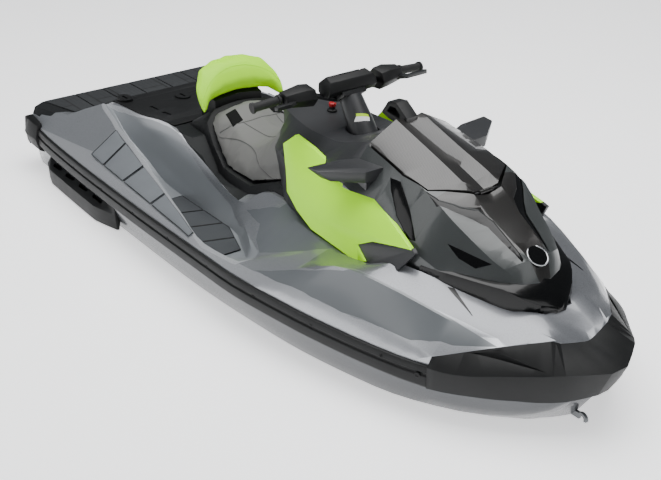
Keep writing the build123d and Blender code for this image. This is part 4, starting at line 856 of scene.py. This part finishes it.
bolster_seam = laid(probe(bolster.data), eased(BOLSTER_SEAM))
saddle_runs = [[spot for spot, _ in seam] for seam in saddle_seams]
beads("seat_piping", saddle_runs, 0.0014, "craft", "seat_vinyl", seam_vinyl)
beads("bolster_piping", [[spot for spot, _ in bolster_seam]], 0.0016, "craft", "lime_vinyl", lime_vinyl)

THREAD = "4A4B4C"
thread, tree = new_material("bonded_polyester_thread")
place = add_node(tree, "ShaderNodeTexCoord")
ply = add_node(tree, "ShaderNodeTexWave", {"Scale": 400.0}, {"Vector": (place, "Object")},
               bands_direction="DIAGONAL")
shade = add_node(tree, "ShaderNodeMix", {6: linear(THREAD), 7: linear("5A5B5C")}, {0: (ply, "Fac")},
                 data_type="RGBA")
skin = add_node(tree, "ShaderNodeBsdfPrincipled", {"Roughness": 0.6}, {"Base Color": (shade, 2)})
add_node(tree, "ShaderNodeOutputMaterial", None, {"Surface": (skin, "BSDF")})
STITCH = ((0, -0.002), (0.0005, -0.0018), (0.0006, 0), (0.0005, 0.0018), (0, 0.002))


def stitches(tree, seams):
    """Stitches lying along each seam, 4 mm to one side of it."""
    spots = []
    for seam in seams:
        for (spot, normal), (beyond, _) in zip(seam, seam[1:]):
            ahead = (beyond - spot).normalized()
            beside, out, _, _ = tree.find_nearest(spot + 0.004 * ahead.cross(normal))
            spots.append((beside + 0.0003 * out, ahead))
    return spots


sewn = stitches(saddle_tree, saddle_seams)
scattered("seat_stitches", STITCH, sewn, "craft", "seat_vinyl", thread, sides=6)


def patch(name, tree, corners, body, slot, material, lift=0.001, cells=12):
    """A thin panel between four corners, laid onto a surface and standing lift off it."""
    a, b, c, d = (Vector(corner) for corner in corners)
    low, high = [], []
    for i in range(cells + 1):
        for j in range(cells + 1):
            spot, normal, _, _ = tree.find_nearest(a.lerp(b, i / cells).lerp(d.lerp(c, i / cells), j / cells))
            low.append(spot - 0.001 * normal)
            high.append(spot + lift * normal)
    row, count = cells + 1, (cells + 1) ** 2
    starts = [i * row + j for i in range(cells) for j in range(cells)]
    squares = [(at, at + 1, at + row + 1, at + row) for at in starts]
    border = ([i * row for i in range(cells)] + [cells * row + j for j in range(cells)]
              + [(cells - i) * row + cells for i in range(cells)] + [cells - j for j in range(cells)])
    faces = squares + [tuple(count + k for k in reversed(square)) for square in squares]
    faces += [(p, q, count + q, count + p) for p, q in zip(border, border[1:] + border[:1])]
    new_piece(name, low + high, faces, body, slot, material)


def pair(name, tree, corners, slot, material, **settings):
    """The same patch on both sides of the craft."""
    patch(name + "_port", tree, corners, "craft", slot, material, **settings)
    patch(name + "_starboard", tree, flipped(corners), "craft", slot, material, **settings)


mesh_fabric, tree = new_material("breathable_mesh_fabric")
place = add_node(tree, "ShaderNodeTexCoord")
holes = add_node(tree, "ShaderNodeTexVoronoi", {"Scale": 330.0, "Randomness": 0.15},
                 {"Vector": (place, "Object")})
shade = add_node(tree, "ShaderNodeMix", {6: linear("030303"), 7: linear("101111")},
                 {0: (holes, "Distance")}, data_type="RGBA")
weave = add_node(tree, "ShaderNodeBump", {"Strength": 0.5, "Distance": 0.0006},
                 {"Height": (holes, "Distance")})
skin = add_node(tree, "ShaderNodeBsdfPrincipled", {"Roughness": 0.8, "Specular IOR Level": 0.15},
                {"Base Color": (shade, 2), "Normal": (weave, "Normal")})
add_node(tree, "ShaderNodeOutputMaterial", None, {"Surface": (skin, "BSDF")})
INSERT = ((1.166, 0.124, 0.519), (1.166, 0.072, 0.527), (1.236, 0.078, 0.495), (1.242, 0.134, 0.482))
pair("seat_mesh", saddle_tree, INSERT, "dark_vinyl", mesh_fabric)

# ---- Console and mirrors -----------------------------------------------------------------
# Satin grey moulded covers round the steering column, and a mirror on each side of the hood
# with silvered glass in its aft face.
satin_plastic = clouded("satin_moulded_nylon", "232426", "2B2C2E", (5.0, 3.0),
                        {"Roughness": 0.42, "IOR": 1.5}, grain=(0.15, 0.0003, 500.0, 3.0))
moulding("console", "craft", satin_plastic, crease=24.0)
moulding("mirrors", "craft", satin_plastic, crease=24.0, edge=0.004)

mirror_glass, tree = new_material("silvered_mirror_glass")
place = add_node(tree, "ShaderNodeTexCoord")
film = add_node(tree, "ShaderNodeTexNoise", {"Scale": 40.0, "Detail": 3.0},
                {"Vector": (place, "Object")})
haze = add_node(tree, "ShaderNodeMapRange", {"To Min": 0.02, "To Max": 0.06}, {"Value": (film, "Fac")})
skin = add_node(tree, "ShaderNodeBsdfPrincipled", {"Base Color": linear("D4D8DA"), "Metallic": 1.0},
                {"Roughness": (haze, "Result")})
add_node(tree, "ShaderNodeOutputMaterial", None, {"Surface": (skin, "BSDF")})
mirror_tree = probe(cad_mesh("mirrors"))
GLASS = ((2.247, 0.236, 0.653), (2.212, 0.372, 0.653), (2.198, 0.402, 0.684), (2.233, 0.226, 0.684))
pair("mirror_glass", mirror_tree, GLASS, "bright_metal", mirror_glass, lift=0.0008)

# ---- Engine cut-off post ---------------------------------------------------------------------
# A black post on the console ahead of the rider, with the red collar that a lanyard clip
# snaps onto.
POST = ((0, -0.004), (0.02, -0.004), (0.02, 0.006), (0.013, 0.01), (0.012, 0.024), (0, 0.024))
COLLAR = ((0, 0.02), (0.0135, 0.02), (0.015, 0.024), (0.015, 0.033), (0.012, 0.036), (0, 0.036))
post_at = landed(probe(cad_mesh("console")), (1.748, 0.018, 1.0), (0, 0, -1))
red_nylon = clouded("red_nylon", "B01218", "9A0E14", (60.0, 3.0), {"Roughness": 0.35})
scattered("cutoff_post", POST, [post_at], "craft", "black_trim", grained_black, sides=28)
scattered("cutoff_collar", COLLAR, [post_at], "craft", "black_trim", red_nylon, sides=28)

# ---- Side panels and lower panels ----------------------------------------------------------
# A gloss lime panel on each side of the console, with a smooth black one below it that meets
# the deck.
LIME = "B4FF00"
# The lime plastic has a faint emission in its own colour: a painted glow that keeps it bright.
lime_plastic_painted_glow = clouded("lime_gloss_abs_painted_glow", LIME, "ACF600", (4.0, 2.0), {
    "Roughness": 0.34, "Specular IOR Level": 0.2, "Emission Color": linear(LIME),
    "Emission Strength": 0.15}, grain=(0.04, 0.0003, 180.0, 2.0))
moulding("side_panels", "craft", lime_plastic_painted_glow, edge=0.004)
moulding("lower_panels", "craft", satin_plastic, edge=0.003)

# ---- Hood, lid and chin ------------------------------------------------------------------
# Painted charcoal side shells, a lid and centre band that look like woven carbon under clear
# lacquer, and a gloss black chin.
CHARCOAL = "434646"
charcoal_paint, tree = new_material("charcoal_metallic_lacquer")
place = add_node(tree, "ShaderNodeTexCoord")
flake = add_node(tree, "ShaderNodeTexVoronoi", {"Scale": 600.0}, {"Vector": (place, "Object")})
cast = add_node(tree, "ShaderNodeTexNoise", {"Scale": 3.0, "Detail": 3.0},
                {"Vector": (place, "Object")})
shade = add_node(tree, "ShaderNodeMix", {6: linear(CHARCOAL), 7: linear("3D4040")}, {0: (cast, "Fac")},
                 data_type="RGBA")
sparkle = add_node(tree, "ShaderNodeMapRange", {"To Min": 0.24, "To Max": 0.4},
                   {"Value": (flake, "Distance")})
skin = add_node(tree, "ShaderNodeBsdfPrincipled",
                {"Metallic": 0.3, "Coat Weight": 0.4, "Coat Roughness": 0.08},
                {"Base Color": (shade, 2), "Roughness": (sparkle, "Result")})
add_node(tree, "ShaderNodeOutputMaterial", None, {"Surface": (skin, "BSDF")})
# Tows are 2 mm in life and drawn at 5 mm so that the twill shows.
TOW = 0.005
carbon, tree = new_material("lacquered_carbon_twill")
place = add_node(tree, "ShaderNodeTexCoord")
turn = add_node(tree, "ShaderNodeMapping", {"Rotation": (0.0, 0.0, math.radians(45))},
                {"Vector": (place, "Object")})
cells = add_node(tree, "ShaderNodeTexChecker", {"Scale": 1.0 / TOW}, {"Vector": (turn, "Vector")})
warp, weft = (add_node(tree, "ShaderNodeTexWave", {"Scale": 0.314 / TOW}, {"Vector": (turn, "Vector")},
                       bands_direction=way) for way in "XY")
tows = add_node(tree, "ShaderNodeMix", None, {0: (cells, "Fac"), 2: (warp, "Fac"), 3: (weft, "Fac")})
shade = add_node(tree, "ShaderNodeMix", {6: linear("100F0F"), 7: linear("2E2C2A")}, {0: (tows, 0)},
                 data_type="RGBA")
skin = add_node(tree, "ShaderNodeBsdfPrincipled",
                {"Metallic": 0.35, "Roughness": 0.3, "Coat Weight": 0.6, "Coat Roughness": 0.03},
                {"Base Color": (shade, 2)})
add_node(tree, "ShaderNodeOutputMaterial", None, {"Surface": (skin, "BSDF")})
HANDLE_END = 2.234
moulding("storage_lid", "lid", carbon, crease=24.0, second=grained_black,
         zone=lambda middle, normal: middle.x < HANDLE_END)
# The woven band widens aft from the nose to the lid's corners: (x, half breadth), in metres.
BAND = ((2.6, 0.196), (2.668, 0.131), (2.705, 0.081), (2.756, 0.061), (2.955, 0.056))


def in_band(middle, normal):
    """Whether a face of the hood lies in the woven band."""
    edge = read_line(middle.x, BAND, 1)
    return edge is not None and normal.z > 0.1 and abs(middle.y) < edge


moulding("hood_shell", "craft", charcoal_paint, crease=24.0, second=carbon, zone=in_band)

GLOSS_BLACK = "060607"
gloss_abs, tree = new_material("gloss_black_abs")
place = add_node(tree, "ShaderNodeTexCoord")
dust = add_node(tree, "ShaderNodeTexNoise", {"Scale": 60.0, "Detail": 5.0},
                {"Vector": (place, "Object")})
haze = add_node(tree, "ShaderNodeMapRange", {"To Min": 0.12, "To Max": 0.22}, {"Value": (dust, "Fac")})
shade = add_node(tree, "ShaderNodeMix", {6: linear(GLOSS_BLACK), 7: linear("0A0B0B")},
                 {0: (dust, "Fac")}, data_type="RGBA")
skin = add_node(tree, "ShaderNodeBsdfPrincipled",
                {"Specular IOR Level": 0.25, "Coat Weight": 0.15, "Coat Roughness": 0.03},
                {"Base Color": (shade, 2), "Roughness": (haze, "Result")})
add_node(tree, "ShaderNodeOutputMaterial", None, {"Surface": (skin, "BSDF")})
moulding("hood_chin", "craft", gloss_abs, crease=24.0, edge=0.004)
moulding("hood_inserts", "craft", gloss_abs, edge=0.0015)
# A thin gloss blade runs from the chin onto the deck on each side.
deck_tree = probe(cad_mesh("deck_shell"))
BLADE = ((2.752, 0.252, 0.406), (2.772, 0.238, 0.41), (2.888, 0.2605, 0.362), (2.886, 0.2625, 0.361))
pair("deck_blade", deck_tree, BLADE, "black_trim", gloss_abs, cells=8)
# A pointed blanking panel is let into the hood above the chin on each side.
hood_tree = probe(cad_mesh("hood_shell"))
BLANK = ((2.703, 0.215, 0.536), (2.846, 0.146, 0.496), (2.806, 0.18, 0.475), (2.752, 0.21, 0.5))
pair("hood_blank", hood_tree, BLANK, "black_trim", gloss_abs, cells=10)
moulding("storage_bin", "craft", grained_black)
# The nose badge is left plain: a black disc in a bright ring.
moulding("hood_emblem", "craft", gloss_abs, edge=0.0015)
beads("emblem_ring", rims("hood_emblem", 0.5), 0.0028, "craft", "bright_metal", bright_steel, sides=12)

# ---- Steering ----------------------------------------------------------------------------
# Handlebar on a raked column, in black powder coat, with moulded control housings, knurled
# rubber grips and a lever on each side.
RUBBER = "0D0D0E"
grip_rubber, tree = new_material("knurled_grip_rubber")
place = add_node(tree, "ShaderNodeTexCoord")
knurl = add_node(tree, "ShaderNodeTexVoronoi", {"Scale": 330.0}, {"Vector": (place, "Object")},
                 distance="CHEBYCHEV")
bloom = add_node(tree, "ShaderNodeTexNoise", {"Scale": 30.0, "Detail": 3.0},
                 {"Vector": (place, "Object")})
shade = add_node(tree, "ShaderNodeMix", {6: linear(RUBBER), 7: linear("151516")}, {0: (bloom, "Fac")},
                 data_type="RGBA")
press = add_node(tree, "ShaderNodeBump", {"Strength": 0.6, "Distance": 0.0008},
                 {"Height": (knurl, "Distance")})
skin = add_node(tree, "ShaderNodeBsdfPrincipled", {"Roughness": 0.75, "IOR": 1.52},
                {"Base Color": (shade, 2), "Normal": (press, "Normal")})
add_node(tree, "ShaderNodeOutputMaterial", None, {"Surface": (skin, "BSDF")})
refinish(grip_rubber, "grips")
moulding("control_housings", "steering", grained_black, crease=24.0, edge=0.003)
moulding("gauge_pod", "steering", grained_black, crease=24.0, edge=0.003)
moulding("steering_neck", "steering", satin_plastic)
for node in ("brake_lever", "throttle_lever"):
    moulding(node, "steering", powder_coat, edge=0.002)

# ---- Gauge display and neck label --------------------------------------------------------------
# A dark liquid-crystal panel under clear cover glass, set in the pod's recess, and a bare
# white and lime sticker on the column cover.
def plate(name, middle, wide, out, size, corner, body, slot, material):
    """A flat plate with rounded corners: size is (width, height, thickness), out its facing."""
    wide, out = Vector(wide).normalized(), Vector(out).normalized()
    tall = out.cross(wide)
    width, height, thick = size
    ring = []
    for turn, (a, b) in enumerate(((1, 1), (-1, 1), (-1, -1), (1, -1))):
        for step in range(5):
            angle = math.pi / 2 * (turn + step / 4)
            ring.append((a * (width / 2 - corner) + corner * math.cos(angle),
                         b * (height / 2 - corner) + corner * math.sin(angle)))
    verts = [Vector(middle) + u * wide + v * tall + w * out
             for w in (-thick / 2, thick / 2) for u, v in ring]
    count = len(ring)
    faces = [tuple(range(count)), tuple(range(2 * count - 1, count - 1, -1))]
    faces += [(k, (k + 1) % count, count + (k + 1) % count, count + k) for k in range(count)]
    new_piece(name, verts, faces, body, slot, material)


display_glass, tree = new_material("liquid_crystal_under_glass")
place = add_node(tree, "ShaderNodeTexCoord")
cells = add_node(tree, "ShaderNodeTexBrick",
                 {"Scale": 1.0, "Brick Width": 0.016, "Row Height": 0.009, "Mortar Size": 0.0008,
                  "Color1": linear("0B0E10"), "Color2": linear("12171A"), "Mortar": linear("030404")},
                 {"Vector": (place, "Object")})
skin = add_node(tree, "ShaderNodeBsdfPrincipled",
                {"Roughness": 0.2, "Coat Weight": 1.0, "Coat Roughness": 0.02},
                {"Base Color": (cells, "Color")})
add_node(tree, "ShaderNodeOutputMaterial", None, {"Surface": (skin, "BSDF")})
plate("gauge_display", (1.8464, 0, 0.8485), (0, 1, 0), (-0.7, 0, 0.714), (0.136, 0.040, 0.003), 0.006,
      "steering", "display", display_glass)

LABEL_INKS = (
    ("neck_label", "E8E8E6", (1.968, -0.03, 0.722), (1.99, 0.012, 0.716), (1.996, 0.006, 0.702),
     (1.97, -0.04, 0.704)),
    ("neck_label_band", "B4E000", (1.963, -0.028, 0.732), (1.984, 0.013, 0.727), (1.99, 0.012, 0.716),
     (1.968, -0.03, 0.722)))
neck_tree = probe(cad_mesh("steering_neck"))
for name, ink, *corners in LABEL_INKS:
    printed, tree = new_material(name + "_coated_film")
    place = add_node(tree, "ShaderNodeTexCoord")
    cast = add_node(tree, "ShaderNodeTexNoise", {"Scale": 80.0, "Detail": 3.0},
                    {"Vector": (place, "Object")})
    gloss = add_node(tree, "ShaderNodeMapRange", {"To Min": 0.3, "To Max": 0.45},
                     {"Value": (cast, "Fac")})
    skin = add_node(tree, "ShaderNodeBsdfPrincipled", {"Base Color": linear(ink)},
                    {"Roughness": (gloss, "Result")})
    add_node(tree, "ShaderNodeOutputMaterial", None, {"Surface": (skin, "BSDF")})
    patch(name, neck_tree, corners, "steering", "console_plastic", printed, lift=0.0006, cells=6)
